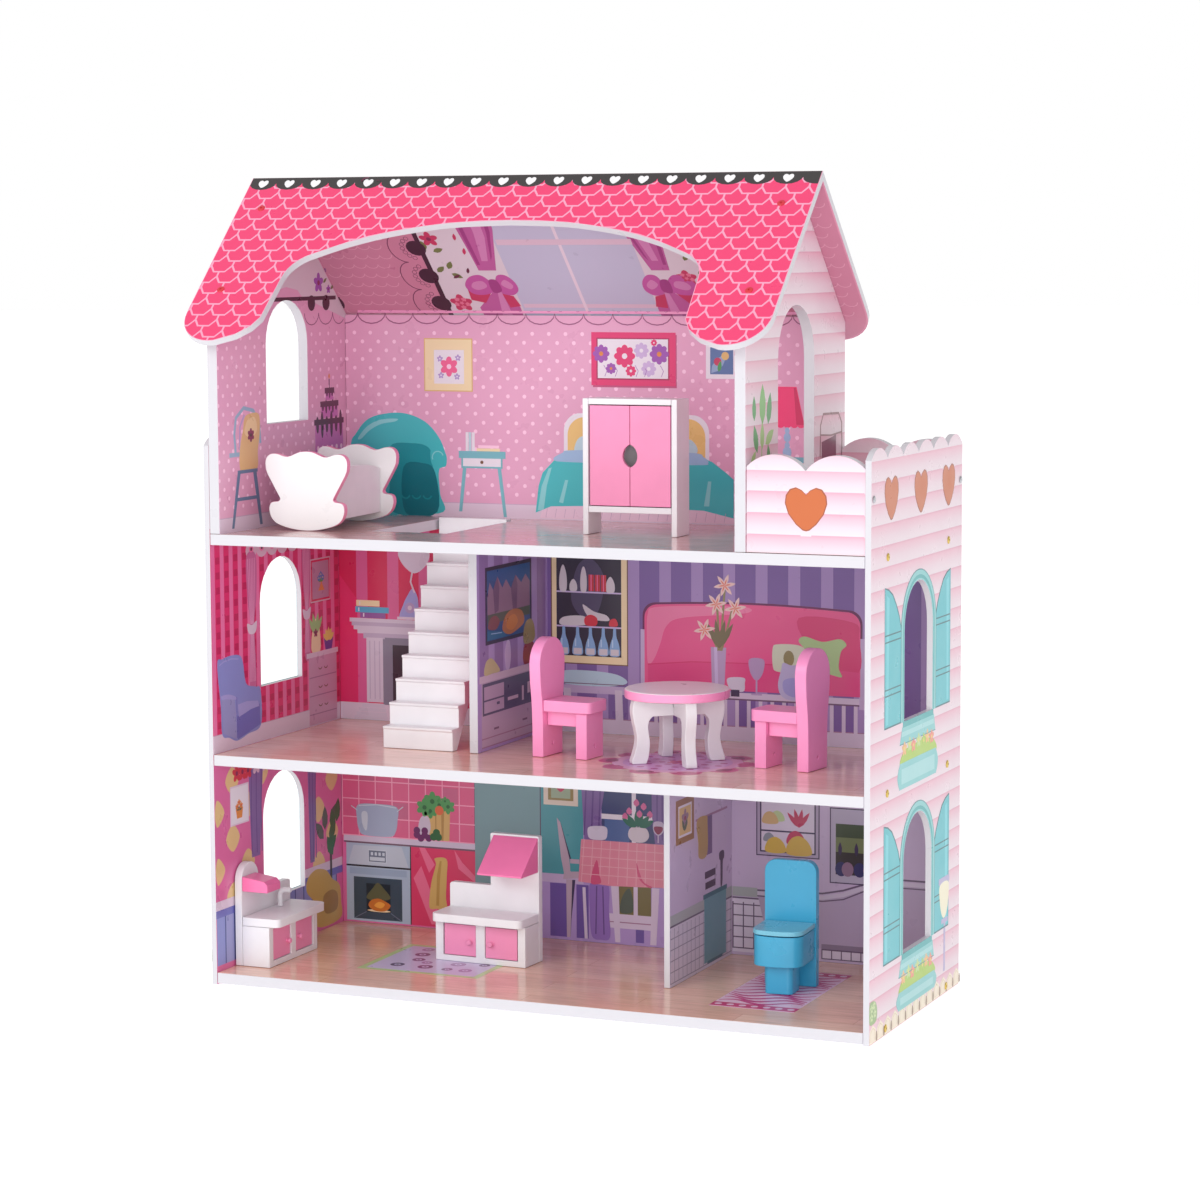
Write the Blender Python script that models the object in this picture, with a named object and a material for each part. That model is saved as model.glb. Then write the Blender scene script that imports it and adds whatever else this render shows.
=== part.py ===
"""Three-storey wooden dollhouse with seven pieces of furniture.

Metres, +Z up. The open front faces -Y and the terrace is on the +X side. The origin is the
centre of the underside. House parts are laid out from the centre line of the body (x) and
from the front edge of the floors (y), then moved by HOUSE_X and HOUSE_Y into that frame.
"""
import math

import bmesh
import bpy
from mathutils import Matrix, Vector

GAP = 0.0003                       # between pieces that touch
SHARP = math.radians(32)           # edges over this angle are shaded sharp

# Body
WIDTH = 0.600                      # over the two outer walls
DEPTH = 0.245
WALL = 0.005                       # outer walls
FLOOR = 0.0094                     # floor boards
BASE_TOP = 0.0107
STOREY = 0.1912                    # floor to floor
ATTIC_WALL = 0.0095
BACK = 0.0035
BACK_Y = 0.2365                    # inner face of the back panels
PARTITION_Y = 0.0885               # front edge of the inner partitions
MIDDLE_PARTITION = 0.0080
GROUND_PARTITION = 0.0055
MIDDLE_PARTITION_X = -0.0885
GROUND_PARTITION_X = 0.0906
ATTIC_RIGHT_X = 0.1945             # outer face of the attic's right wall

# Windows and doorway
WINDOW_W = 0.0765
WINDOW_H = 0.1125
WINDOW_Y = 0.1250
WINDOW_SILLS = (0.0470, 0.0486)    # above the ground and middle floors
ATTIC_SILL = 0.0900
ATTIC_WINDOW_H = 0.1075
DOORWAY_W = 0.0890
DOORWAY_TOP = 0.1950               # above the attic floor
DOORWAY_Y = 0.1205

# Scalloped wall tops and terrace parapets
SCALLOPS = 6
NOTCH_Z = 0.4688
SCALLOP_RISE = 0.0089
PARAPET = 0.0095
PARAPET_LOBE = 0.0778              # heights above the attic floor
PARAPET_NOTCH = 0.0665
PARAPET_END = 0.0690

# Roof
RIDGE_Z = 0.6980
ROOF_SLOPE = math.radians(44.0)
ROOF_T = 0.0060
ROOF_RUN = 0.2000                  # down the slope
ROOF_HALF = 0.2657
ROOF_X = -0.0492

# Stairs and their opening
STEPS = 10
STEP_RUN = 0.0128
STAIR_X = (-0.1765, -0.1095)
STAIR_Y = 0.0900
HOLE_X = (-0.1785, -0.1075)
HOLE_Y = (0.0750, 0.2150)

# Parapet screws
SCREW_HEAD = 0.0032
SCREW_PROUD = 0.0012
SCREW_SHANK = 0.0013
SCREW_HOLE = 0.0016
SCREW_Z = 0.4380
SCREW_YS = (0.0058, 0.2397)

MIDDLE_TOP = BASE_TOP + STOREY
ATTIC_TOP = MIDDLE_TOP + STOREY
INNER = WIDTH / 2 - WALL
RIDGE_Y = DEPTH / 2
ROOF_DROP = ROOF_T / math.cos(ROOF_SLOPE)
HOUSE_X = -(ROOF_X - ROOF_HALF + WIDTH / 2 + SCREW_PROUD) / 2
HOUSE_Y = -DEPTH / 2

# Which plane a flat board is drawn in: its drawing's axes and its thickness direction
PLANES = {
    "X": Matrix(((0, 0, 1, 0), (1, 0, 0, 0), (0, 1, 0, 0), (0, 0, 0, 1))),
    "Y": Matrix(((1, 0, 0, 0), (0, 0, -1, 0), (0, 1, 0, 0), (0, 0, 0, 1))),
    "Z": Matrix.Identity(4),
}

MATERIALS = {
    "white_board": ((0.90, 0.90, 0.90), 0.35),
    "printed_pink_board": ((0.85, 0.35, 0.55), 0.35),
    "printed_siding_board": ((0.86, 0.70, 0.78), 0.35),
    "plank_floor": ((0.62, 0.38, 0.30), 0.25),
    "roof_board": ((0.95, 0.10, 0.22), 0.35),
    "pink_paint": ((0.90, 0.24, 0.48), 0.35),
    "light_pink_paint": ((0.93, 0.40, 0.62), 0.35),
    "blue_paint": ((0.05, 0.42, 0.62), 0.30),
    "pale_blue_paint": ((0.22, 0.58, 0.72), 0.30),
    "silver_screw": ((0.75, 0.75, 0.75), 0.30),
}


def clear_scene():
    for obj in list(bpy.data.objects):
        bpy.data.objects.remove(obj, do_unlink=True)


def collection(name):
    made = bpy.data.collections.new(name)
    bpy.context.scene.collection.children.link(made)
    return made


def material(slot):
    found = bpy.data.materials.get(slot)
    if found:
        return found
    colour, roughness = MATERIALS[slot]
    made = bpy.data.materials.new(slot)
    made.use_nodes = True
    shader = made.node_tree.nodes["Principled BSDF"]
    shader.inputs["Base Color"].default_value = (*colour, 1.0)
    shader.inputs["Roughness"].default_value = roughness
    shader.inputs["Metallic"].default_value = 1.0 if slot == "silver_screw" else 0.0
    return made


def finish(name, mesh, slot, parent=None, at=(0, 0, 0)):
    """Wrap a mesh as a named sub-part with its origin at the given point."""
    mesh.name = name
    bm = bmesh.new()
    bm.from_mesh(mesh)
    bmesh.ops.remove_doubles(bm, verts=bm.verts, dist=0.00001)
    bmesh.ops.translate(bm, verts=bm.verts, vec=-Vector(at))
    bmesh.ops.recalc_face_normals(bm, faces=bm.faces)
    bm.to_mesh(mesh)
    bm.free()
    mesh.polygons.foreach_set("use_smooth", [True] * len(mesh.polygons))
    mesh.set_sharp_from_angle(angle=SHARP)
    obj = bpy.data.objects.new(name, mesh)
    house.objects.link(obj)
    obj.location = at
    obj.parent = parent
    mesh.materials.clear()
    mesh.materials.append(material(slot))
    return obj


def plate(name, outline, slot, plane, span, holes=(), parent=None, at=(0, 0, 0)):
    """Cut a flat board: outline and holes in its plane, span = where its two faces lie."""
    curve = bpy.data.curves.new(name, "CURVE")
    curve.dimensions = "2D"
    curve.fill_mode = "BOTH"
    curve.extrude = (span[1] - span[0]) / 2
    for ring in (outline, *holes):
        spline = curve.splines.new("POLY")
        spline.points.add(len(ring) - 1)
        for point, (u, v) in zip(spline.points, ring):
            point.co = (u, v, 0, 1)
        spline.use_cyclic_u = True
    drawn = bpy.data.objects.new(name, curve)
    house.objects.link(drawn)
    bpy.context.view_layer.update()
    evaluated = drawn.evaluated_get(bpy.context.evaluated_depsgraph_get())
    mesh = bpy.data.meshes.new_from_object(evaluated)
    bpy.data.objects.remove(drawn, do_unlink=True)
    turn = PLANES[plane]
    middle = (span[0] + span[1]) / 2
    axis = {"X": Vector((1, 0, 0)), "Y": Vector((0, 1, 0)), "Z": Vector((0, 0, 1))}[plane]
    mesh.transform(Matrix.Translation(axis * middle) @ turn)
    return finish(name, mesh, slot, parent, at)


def solid(name, groups, slot, parent=None, at=(0, 0, 0)):
    """One closed mesh from lists of vertices and faces."""
    vertices, faces = groups
    mesh = bpy.data.meshes.new(name)
    mesh.from_pydata(vertices, [], faces)
    return finish(name, mesh, slot, parent, at)


def box(name, x, y, z, slot, parent=None, at=(0, 0, 0)):
    vertices = [(a, b, c) for a in x for b in y for c in z]
    faces = [(0, 1, 3, 2), (4, 6, 7, 5), (0, 4, 5, 1), (2, 3, 7, 6), (0, 2, 6, 4), (1, 5, 7, 3)]
    return solid(name, (vertices, faces), slot, parent, at)


def stack(name, rings, slot, parent=None, at=(0, 0, 0)):
    """A closed skin through rings of equal length, capped at both ends."""
    count = len(rings[0])
    vertices = [point for ring in rings for point in ring]
    faces = [tuple(range(count))]
    faces.append(tuple(range(len(vertices) - count, len(vertices))))
    for level in range(len(rings) - 1):
        low = level * count
        for i in range(count):
            j = (i + 1) % count
            faces.append((low + i, low + j, low + count + j, low + count + i))
    return solid(name, (vertices, faces), slot, parent, at)


def arc(centre, radius, start, end, steps):
    """Points on an arc, angles in degrees."""
    points = []
    for i in range(steps + 1):
        angle = math.radians(start + (end - start) * i / steps)
        points.append((centre[0] + radius * math.cos(angle), centre[1] + radius * math.sin(angle)))
    return points


def bulge(start, end, rise, steps):
    """Arc from start to end that rises to its left by the given amount, without its end."""
    chord = Vector(end) - Vector(start)
    half = chord.length / 2
    radius = (half * half + rise * rise) / (2 * rise)
    sideways = Vector((-chord.y, chord.x)).normalized()
    centre = (Vector(start) + Vector(end)) / 2 - sideways * (radius - rise)
    sweep = 2 * math.asin(min(1.0, half / radius))
    spoke = Vector(start) - centre
    points = []
    for i in range(steps):
        turn = Matrix.Rotation(-sweep * i / steps, 2)
        points.append(tuple(centre + turn @ spoke))
    return points


def arched(centre, width, low, high, steps=14):
    """Opening with a straight lower part and a round head."""
    radius = width / 2
    points = [(centre - radius, low), (centre + radius, low)]
    return points + arc((centre, high - radius), radius, 0, 180, steps)


def circle(centre, radius, steps=16):
    return arc(centre, radius, 0, 360, steps)[:-1]


def mirrored(half):
    """Close a shape from its right half, listed from its top middle to its bottom middle."""
    left = [(-u, v) for u, v in reversed(half) if abs(u) > 1e-6]
    return half + left


def shift(points, du=0.0, dv=0.0):
    return [(u + du, v + dv) for u, v in points]


def smooth(points, steps=4):
    """Catmull-Rom curve through the points, with the given steps between two of them."""
    last = len(points) - 1
    made = []
    for i in range(last):
        a, b, c, d = (Vector(points[max(0, min(last, i + k))]) for k in (-1, 0, 1, 2))
        for j in range(steps):
            t = j / steps
            bend = (2 * a - 5 * b + 4 * c - d) * t * t + (3 * (b - c) + d - a) * t ** 3
            made.append(tuple((2 * b + (c - a) * t + bend) / 2))
    return made + [tuple(points[-1])]


def rectangle(u, v):
    return [(u[0], v[0]), (u[1], v[0]), (u[1], v[1]), (u[0], v[1])]


def hx(value):
    return value + HOUSE_X


def hy(value):
    return value + HOUSE_Y


def house_y(points):
    """Points given as (y, z) from the front edge, moved into the frame."""
    return shift(points, HOUSE_Y)


def unit(name, x, y, floor, turn=0.0):
    """Empty at the middle of a piece of furniture's front, on its floor."""
    empty = bpy.data.objects.new(name, None)
    house.objects.link(empty)
    empty.empty_display_size = 0.02
    empty.location = (hx(x), hy(y), floor + GAP)
    empty.rotation_euler = (0, 0, math.radians(turn))
    return empty


def floors():
    x = (hx(-INNER + GAP), hx(INNER - GAP))
    y = (hy(0), hy(DEPTH))
    box("base_floor", x, y, (BASE_TOP - FLOOR, BASE_TOP), "plank_floor")
    box("second_floor", x, y, (MIDDLE_TOP - FLOOR, MIDDLE_TOP), "plank_floor")
    hole = rectangle([hx(v) for v in HOLE_X], [hy(v) for v in HOLE_Y])
    outline = rectangle(x, y)
    plate("third_floor", outline, "plank_floor", "Z", (ATTIC_TOP - FLOOR, ATTIC_TOP), [hole])


def outer_walls():
    """Side walls with two windows each and scalloped tops."""
    outline = [(0, 0), (DEPTH, 0)]
    pitch = DEPTH / SCALLOPS
    for i in range(SCALLOPS):
        start = (DEPTH - pitch * i, NOTCH_Z)
        end = (DEPTH - pitch * (i + 1), NOTCH_Z)
        scallop = bulge(end, start, SCALLOP_RISE, 10)
        outline += [start] + scallop[:0:-1]
    outline.append((0, NOTCH_Z))
    windows = []
    for floor, sill in zip((BASE_TOP, MIDDLE_TOP), WINDOW_SILLS):
        low = floor + sill
        windows.append(house_y(arched(WINDOW_Y, WINDOW_W, low, low + WINDOW_H)))
    screws = [house_y(circle((y, SCREW_Z), SCREW_HOLE)) for y in SCREW_YS]
    left = (hx(-WIDTH / 2), hx(-INNER))
    right = (hx(INNER), hx(WIDTH / 2))
    outline = house_y(outline)
    plate("left_wall", outline, "printed_pink_board", "X", left, windows)
    plate("right_wall", outline, "printed_siding_board", "X", right, windows + screws)


def roof_underside(y):
    return RIDGE_Z - math.tan(ROOF_SLOPE) * abs(RIDGE_Y - y) - ROOF_DROP - GAP


def attic_walls():
    """Gable walls: the left one has a window, the right one a doorway to the terrace."""
    gable = [(DEPTH, roof_underside(DEPTH)), (RIDGE_Y, roof_underside(RIDGE_Y)), (0, roof_underside(0))]
    low = ATTIC_TOP + GAP
    window = arched(WINDOW_Y, WINDOW_W, ATTIC_TOP + ATTIC_SILL,
                    ATTIC_TOP + ATTIC_SILL + ATTIC_WINDOW_H)
    outline = [(0, low), (DEPTH, low)] + gable
    left = (hx(-INNER + GAP), hx(-INNER + GAP + ATTIC_WALL))
    plate("attic_left_wall", house_y(outline), "printed_pink_board", "X", left, [house_y(window)])
    radius = DOORWAY_W / 2
    head = arc((DOORWAY_Y, ATTIC_TOP + DOORWAY_TOP - radius), radius, 180, 0, 16)
    doorway = [(DOORWAY_Y - radius, low)] + head + [(DOORWAY_Y + radius, low)]
    outline = [(0, low)] + doorway + [(DEPTH, low)] + gable
    right = (hx(ATTIC_RIGHT_X - ATTIC_WALL), hx(ATTIC_RIGHT_X))
    plate("attic_right_wall", house_y(outline), "printed_siding_board", "X", right)


def inner_walls():
    y = (hy(PARTITION_Y), hy(BACK_Y - GAP))
    for name, x, thick, low in (
        ("middle_partition", MIDDLE_PARTITION_X, MIDDLE_PARTITION, MIDDLE_TOP),
        ("ground_partition", GROUND_PARTITION_X, GROUND_PARTITION, BASE_TOP),
    ):
        z = (low + GAP, low + STOREY - FLOOR - GAP)
        box(name, (hx(x - thick / 2), hx(x + thick / 2)), y, z, "printed_pink_board")
    y = (hy(BACK_Y), hy(BACK_Y + BACK))
    full = (hx(-INNER + GAP), hx(INNER - GAP))
    for name, low in (("ground_back_panel", BASE_TOP), ("middle_back_panel", MIDDLE_TOP)):
        z = (low + GAP, low + STOREY - FLOOR - GAP)
        box(name, full, y, z, "printed_pink_board")
    attic = (hx(-INNER + 2 * GAP + ATTIC_WALL), hx(ATTIC_RIGHT_X - ATTIC_WALL - GAP))
    z = (ATTIC_TOP + GAP, roof_underside(BACK_Y + BACK) - GAP)
    box("attic_back_panel", attic, y, z, "printed_pink_board")


def roof_panel(name, half, side):
    """A roof board drawn as (x, distance down the slope); side -1 is the front, +1 the rear."""
    cos, sin = math.cos(ROOF_SLOPE), math.sin(ROOF_SLOPE)
    mitre = ROOF_T * math.tan(ROOF_SLOPE)
    rings = []
    for depth in (0, ROOF_T):
        ring = []
        for u, run in mirrored(half):
            if run < 1e-6:
                run = GAP / cos + mitre * depth / ROOF_T
            y = RIDGE_Y + side * (run * cos - depth * sin)
            z = RIDGE_Z - run * sin - depth * cos
            ring.append((hx(ROOF_X + u), hy(y), z))
        rings.append(ring)
    stack(name, rings, "roof_board")


def roof():
    """The front board has a wide arch and a round lobe at each end, the rear one is plain."""
    lobe = arc((0.2330, 0.1670), 0.0330, 0, 100, 10) + [(0.2100, 0.1925), (0.1985, 0.1828)]
    arch = arc((0.1575, 0.1260), 0.0330, 0, -65, 6)
    front = [(0, 0), (ROOF_HALF, 0)] + lobe + [(0.1925, 0.1715)]
    front += smooth(arch + [(0.1430, 0.0820), (0.1050, 0.0690), (0.0550, 0.0592), (0, 0.0562)], 5)
    roof_panel("front_roof", front, -1)
    corner = arc((ROOF_HALF - 0.033, ROOF_RUN - 0.033), 0.033, 0, 90, 8)
    roof_panel("rear_roof", [(0, 0), (ROOF_HALF, 0)] + corner + [(0, ROOF_RUN)], 1)


def parapets():
    """Terrace boards with two round lobes on top, front and rear."""
    x0 = hx(ATTIC_RIGHT_X + GAP)
    x1 = hx(INNER - GAP)
    middle = (x0 + x1) / 2
    end = ATTIC_TOP + PARAPET_END
    notch = (middle, ATTIC_TOP + PARAPET_NOTCH)
    top = bulge((x0, end), notch, PARAPET_LOBE - PARAPET_NOTCH, 12)
    top += bulge(notch, (x1, end), PARAPET_LOBE - PARAPET_NOTCH, 12) + [(x1, end)]
    outline = [(x1, ATTIC_TOP + GAP), (x0, ATTIC_TOP + GAP)] + top
    for name, y in (("front", 0.0010), ("rear", DEPTH - PARAPET)):
        span = (hy(y), hy(y + PARAPET))
        plate("terrace_" + name + "_parapet", outline, "printed_siding_board", "Y", span)


def parapet_screws():
    """Pan-head screws through the right wall, with their heads just proud of it."""
    face = WIDTH / 2
    for name, y in zip(("front", "rear"), SCREW_YS):
        rings = []
        for x, radius in ((INNER + GAP, SCREW_SHANK), (face + GAP, SCREW_SHANK),
                          (face + GAP, SCREW_HEAD), (face + SCREW_PROUD, SCREW_HEAD * 0.72)):
            rings.append([(hx(x), hy(u), v) for u, v in circle((y, SCREW_Z), radius)])
        stack("parapet_screw_" + name, rings, "silver_screw")


def staircase():
    """Ten steps on a sloping underside; the top one lies in the attic floor's opening."""
    rise = (STOREY + 0.0015) / STEPS
    z = MIDDLE_TOP + GAP
    outline = [(STAIR_Y + 0.009, z), (STAIR_Y, z)]
    for i in range(STEPS):
        front = STAIR_Y + STEP_RUN * i
        nose = 0.0012 if i < STEPS - 1 else 0
        top = z + rise * (i + 1)
        if nose:
            outline += [(front, top - 0.0028), (front - nose, top - 0.0020)]
        outline += [(front - nose, top), (front + STEP_RUN, top)]
    back = HOLE_Y[1] - 0.0008
    outline[-1] = (back, z + rise * STEPS)
    outline += [(back, z + rise * STEPS - 0.006), (STAIR_Y + STEP_RUN * 9 + 0.009, z + rise * 9)]
    plate("staircase", house_y(outline), "white_board", "X", [hx(v) for v in STAIR_X])


def hinged_door(name, x, z, hinge, slot, parent, y, thick, notch=None, knob=None):
    """Door panel whose origin is on its hinge; hinge -1 is its left edge, +1 its right one."""
    outline = rectangle(x, z)
    if notch:
        height, bite = notch
        middle = (z[0] + z[1]) / 2
        ends = ((x[1], middle - height / 2), (x[1], middle + height / 2))
        if hinge > 0:
            ends = ((x[0], middle + height / 2), (x[0], middle - height / 2))
        curve = bulge(ends[0], ends[1], bite, 12) + [ends[1]]
        if hinge < 0:
            outline = [(x[0], z[0]), (x[1], z[0])] + curve + [(x[1], z[1]), (x[0], z[1])]
        else:
            outline = [(x[0], z[1])] + curve + [(x[0], z[0]), (x[1], z[0]), (x[1], z[1])]
    edge = x[0] if hinge < 0 else x[1]
    at = (edge - hinge * thick / 2, y + thick / 2, (z[0] + z[1]) / 2)
    door = plate(name, outline, slot, "Y", (y, y + thick), parent=parent, at=at)
    if knob:
        weld_knob(door, knob, y)
    return door


def combine(obj, cutter, operation):
    """Boolean with a cutter, applied so that the edges it makes can be marked sharp."""
    house.objects.unlink(cutter)
    cutters.objects.link(cutter)
    cutter.hide_render = True
    cutter.display_type = "WIRE"
    step = obj.modifiers.new("combine", "BOOLEAN")
    step.operation = operation
    step.solver = "EXACT"
    step.object = cutter
    bpy.context.view_layer.update()
    evaluated = obj.evaluated_get(bpy.context.evaluated_depsgraph_get())
    shape = bpy.data.meshes.new_from_object(evaluated)
    obj.modifiers.clear()
    obj.data = shape
    shape.set_sharp_from_angle(angle=SHARP)


def weld_knob(door, centre, y):
    """Turn a small round knob and join it to the front of a door."""
    rings = []
    for depth, radius in ((0.0008, 0.0014), (-0.0012, 0.0014), (-0.0020, 0.0024),
                          (-0.0032, 0.0026), (-0.0042, 0.0018)):
        rings.append([(u, y + depth, v) for u, v in circle(centre, radius, 14)])
    at = tuple(door.location)
    knob = stack(door.name + "_knob_cutter", rings, "pink_paint", door.parent, at)
    combine(door, knob, "UNION")


def wardrobe():
    """Tall cupboard on two side panels, with a pair of doors and a shared finger hole."""
    width, depth, height = 0.0860, 0.0285, 0.1156
    side, rail, low = 0.0050, 0.0053, 0.0189
    root = unit("wardrobe_unit", 0.0500, 0.1072, ATTIC_TOP)
    half = width / 2
    for name, x in (("left", (-half, -half + side)), ("right", (half - side, half))):
        box("wardrobe_side_" + name, x, (0, depth), (0, height), "white_board", root)
    inside = (-half + side + GAP, half - side - GAP)
    box("wardrobe_top", inside, (0, depth), (height - side, height), "white_board", root)
    box("wardrobe_bottom", inside, (0, depth), (low, low + rail), "white_board", root)
    z = (low + rail + GAP, height - side - GAP)
    box("wardrobe_back", inside, (depth - 0.0030, depth), z, "white_board", root)
    play, meet, thick = 0.0012, 0.0003, 0.0040
    z = (low + rail + 0.0007, height - side - 0.0009)
    for name, hinge in (("left", -1), ("right", 1)):
        x = sorted((hinge * (half - side - play), hinge * meet))
        hinged_door("wardrobe_door_" + name, x, z, hinge, "light_pink_paint", root,
                    0.0008, thick, notch=(0.0193, 0.0064))


def kitchen_unit(prefix, root, back_outline):
    """Cabinet with two openings, counter with a nosing, back board and two knobbed doors."""
    width, body, back = 0.0890, 0.0265, 0.0068
    cabinet, counter, nosing = 0.0355, 0.0075, 0.0095
    half = width / 2
    openings = ((-0.0370, -0.0045), (0.0045, 0.0370))
    low, high = 0.0050, 0.0335
    holes = [rectangle(x, (low, high)) for x in openings]
    outline = rectangle((-half, half), (0, cabinet))
    plate(prefix + "_cabinet", outline, "white_board", "Y", (0, body), holes, root)
    r = 0.0060
    plan = [(-half, body - GAP), (-half, -nosing + r)] + arc((-half + r, -nosing + r), r, 180, 270, 5)[1:]
    plan += arc((half - r, -nosing + r), r, 270, 360, 5) + [(half, body - GAP)]
    z = (cabinet + GAP, cabinet + GAP + counter)
    plate(prefix + "_counter", plan, "white_board", "Z", z, parent=root)
    span = (body + GAP, body + GAP + back)
    plate(prefix + "_back", back_outline(half), "white_board", "Y", span, parent=root)
    play = 0.0011
    for name, hinge, (x0, x1) in (("left", -1, openings[0]), ("right", 1, openings[1])):
        x = (x0 + play, x1 - 0.0005) if hinge < 0 else (x0 + 0.0005, x1 - play)
        knob = (hinge * 0.0105, (low + high) / 2 - 0.0012)
        hinged_door(prefix + "_door_" + name, x, (low + 0.0006, high - 0.0006), hinge,
                    "pink_paint", root, 0.0010, 0.0042, knob=knob)


def wedge(name, x, profile, slot, root):
    """Prism along x from a profile in (y, z)."""
    rings = [[(u, y, z) for y, z in profile] for u in x]
    stack(name, rings, slot, root)


def stove():
    root = unit("stove_unit", -0.0972, 0.1165, BASE_TOP, -3.0)
    low, tall, step = 0.0650, 0.1120, -0.0035

    def back(half):
        r = 0.0015
        outline = [(-half, 0), (half, 0), (half, tall - r)] + arc((half - r, tall - r), r, 0, 90, 3)[1:]
        outline += arc((step + r, tall - r), r, 90, 180, 3) + [(step, low)]
        return outline + arc((-half + 0.003, low - 0.003), 0.003, 90, 180, 4)

    kitchen_unit("stove", root, back)
    face = 0.0265
    profile = [(face, 0.0800), (face - 0.0320, 0.0800), (face - 0.0320, 0.0815), (face, 0.1105)]
    wedge("stove_hood", (0.0000, 0.0440), profile, "light_pink_paint", root)


def sink():
    root = unit("sink_unit", -0.2602, 0.0755, BASE_TOP, 90.0)
    low, tall, edge = 0.0620, 0.0900, -0.0135

    def back(half):
        r = (edge + half) / 2
        outline = [(-half, 0), (half, 0)] + arc((half - 0.003, low - 0.003), 0.003, 0, 90, 4)
        return outline + [(edge, low)] + arc((-half + r, tall - r), r, 0, 180, 12)

    kitchen_unit("sink", root, back)
    face = 0.0265
    profile = [(face, 0.0660), (face - 0.0250, 0.0660), (face - 0.0250, 0.0725),
               (face - 0.0215, 0.0760), (face, 0.0790)]
    wedge("sink_dispenser", (-0.0440, -0.0200), profile, "light_pink_paint", root)
    tap(root)


def tap(root):
    """Bent spout standing on the sink counter."""
    base = 0.0355 + 0.0075 + 2 * GAP
    radius = 0.0024
    path = [(0.0190, base), (0.0190, base + 0.0100)]
    path += [(0.0190 - 0.005 + 0.005 * math.cos(math.radians(a)),
              base + 0.0100 + 0.005 * math.sin(math.radians(a))) for a in (22.5, 45, 67.5, 90)]
    path.append((0.0080, base + 0.0150))
    rings = []
    for i, (y, z) in enumerate(path):
        before = Vector(path[max(i - 1, 0)])
        after = Vector(path[min(i + 1, len(path) - 1)])
        along = (after - before).normalized()
        ring = []
        for u, v in circle((0, 0), radius, 14):
            ring.append((0.0110 + u, y + v * along.y, z - v * along.x))
        rings.append(ring)
    stack("sink_tap", rings, "white_board", root)


def toilet():
    """Blue toilet: back board, pedestal, bowl with a shallow well and a hinged lid."""
    root = unit("toilet_unit", 0.1855, 0.1020, BASE_TOP, 3.0)
    board = [(-0.0228, 0), (0.0228, 0)] + arc((0.0228 - 0.010, 0.098), 0.010, 0, 90, 6)
    board += arc((-0.0228 + 0.010, 0.098), 0.010, 90, 180, 6)
    front = 0.0363
    plate("toilet_back", board, "blue_paint", "Y", (front, front + 0.0085), parent=root)
    foot = [(0.0085, front - GAP), (-0.0085, front - GAP), (-0.0085, 0.0215)]
    foot += [(-0.0123, 0.0215)] + arc((-0.0123 + 0.005, 0.005), 0.005, 180, 270, 4)
    foot += arc((0.0123 - 0.005, 0.005), 0.005, 270, 360, 4) + [(0.0123, 0.0215), (0.0085, 0.0215)]
    plate("toilet_pedestal", foot, "blue_paint", "Z", (0, 0.0245), parent=root)

    def plan(rear, grow):
        half = 0.0216 + grow
        corner = 0.0130
        points = [(half, rear), (-half, rear)]
        points += arc((-half + corner, 0.0042 - grow), corner, 180, 238, 6)
        nose = bulge(points[-1], (-points[-1][0], points[-1][1]), -0.0028, 6)
        return points + nose[1:] + arc((half - corner, 0.0042 - grow), corner, 302, 360, 6)

    bowl(root, plan(front - GAP, 0.0))
    lid = plan(front - 0.0010, 0.0006)
    axis = (0, front - 0.0030, 0.0515 + 0.0020)
    plate("toilet_lid", lid, "pale_blue_paint", "Z", (0.0515, 0.0555), parent=root, at=axis)


def bowl(root, outline):
    """Bowl block with a round well sunk into its top."""
    low, high, well = 0.0248, 0.0505, 0.0140
    block = plate("toilet_bowl", outline, "blue_paint", "Z", (low, high), parent=root)
    rings = []
    for z, radius in ((high - well, 0.0080), (high - well * 0.6, 0.0118), (high, 0.0135),
                      (high + 0.002, 0.0135)):
        rings.append([(u, v, z) for u, v in circle((0, 0.0135), radius, 24)])
    combine(block, stack("toilet_bowl_well_cutter", rings, "blue_paint", root), "DIFFERENCE")


def table():
    """Round top on two crossed leg boards that are half-lapped into each other."""
    root = unit("table_unit", 0.0915, 0.1110, MIDDLE_TOP, -6.0)
    under, thick, radius = 0.0548, 0.0095, 0.0448
    rings = []
    for z, r in ((under + GAP, radius - 0.0008), (under + GAP + 0.0008, radius),
                 (under + 0.0073, radius), (under + 0.0083, radius - 0.0010)):
        rings.append([(u, v, z) for u, v in circle((0, 0), r, 48)])
    stack("table_top", rings, "pink_paint", root)
    slot = thick / 2 + GAP
    rail, middle = 0.0400, 0.0474
    outer = smooth([(0.0392, under), (0.0408, 0.0470), (0.0402, 0.0390), (0.0374, 0.0260),
                    (0.0370, 0.0180), (0.0394, 0.0080), (0.0412, 0.0030), (0.0408, 0)], 3)
    inner = smooth([(0.0286, 0), (0.0268, 0.0050), (0.0258, 0.0120), (0.0256, 0.0200),
                    (0.0270, 0.0300), (0.0262, 0.0360), (0.0230, rail)], 3)
    for name, turn in (("a", 45), ("b", -45)):
        if name == "a":
            half = [(slot, middle), (slot, under)] + outer + inner
            outline = half + [(-u, v) for u, v in reversed(half)]
        else:
            half = [(0, under)] + outer + inner + [(slot, rail), (slot, middle)]
            outline = half + [(-u, v) for u, v in reversed(half[1:])]
        board = plate("table_legs_" + name, outline, "white_board", "Y",
                      (-thick / 2, thick / 2), parent=root)
        board.rotation_euler = (0, 0, math.radians(turn))


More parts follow.
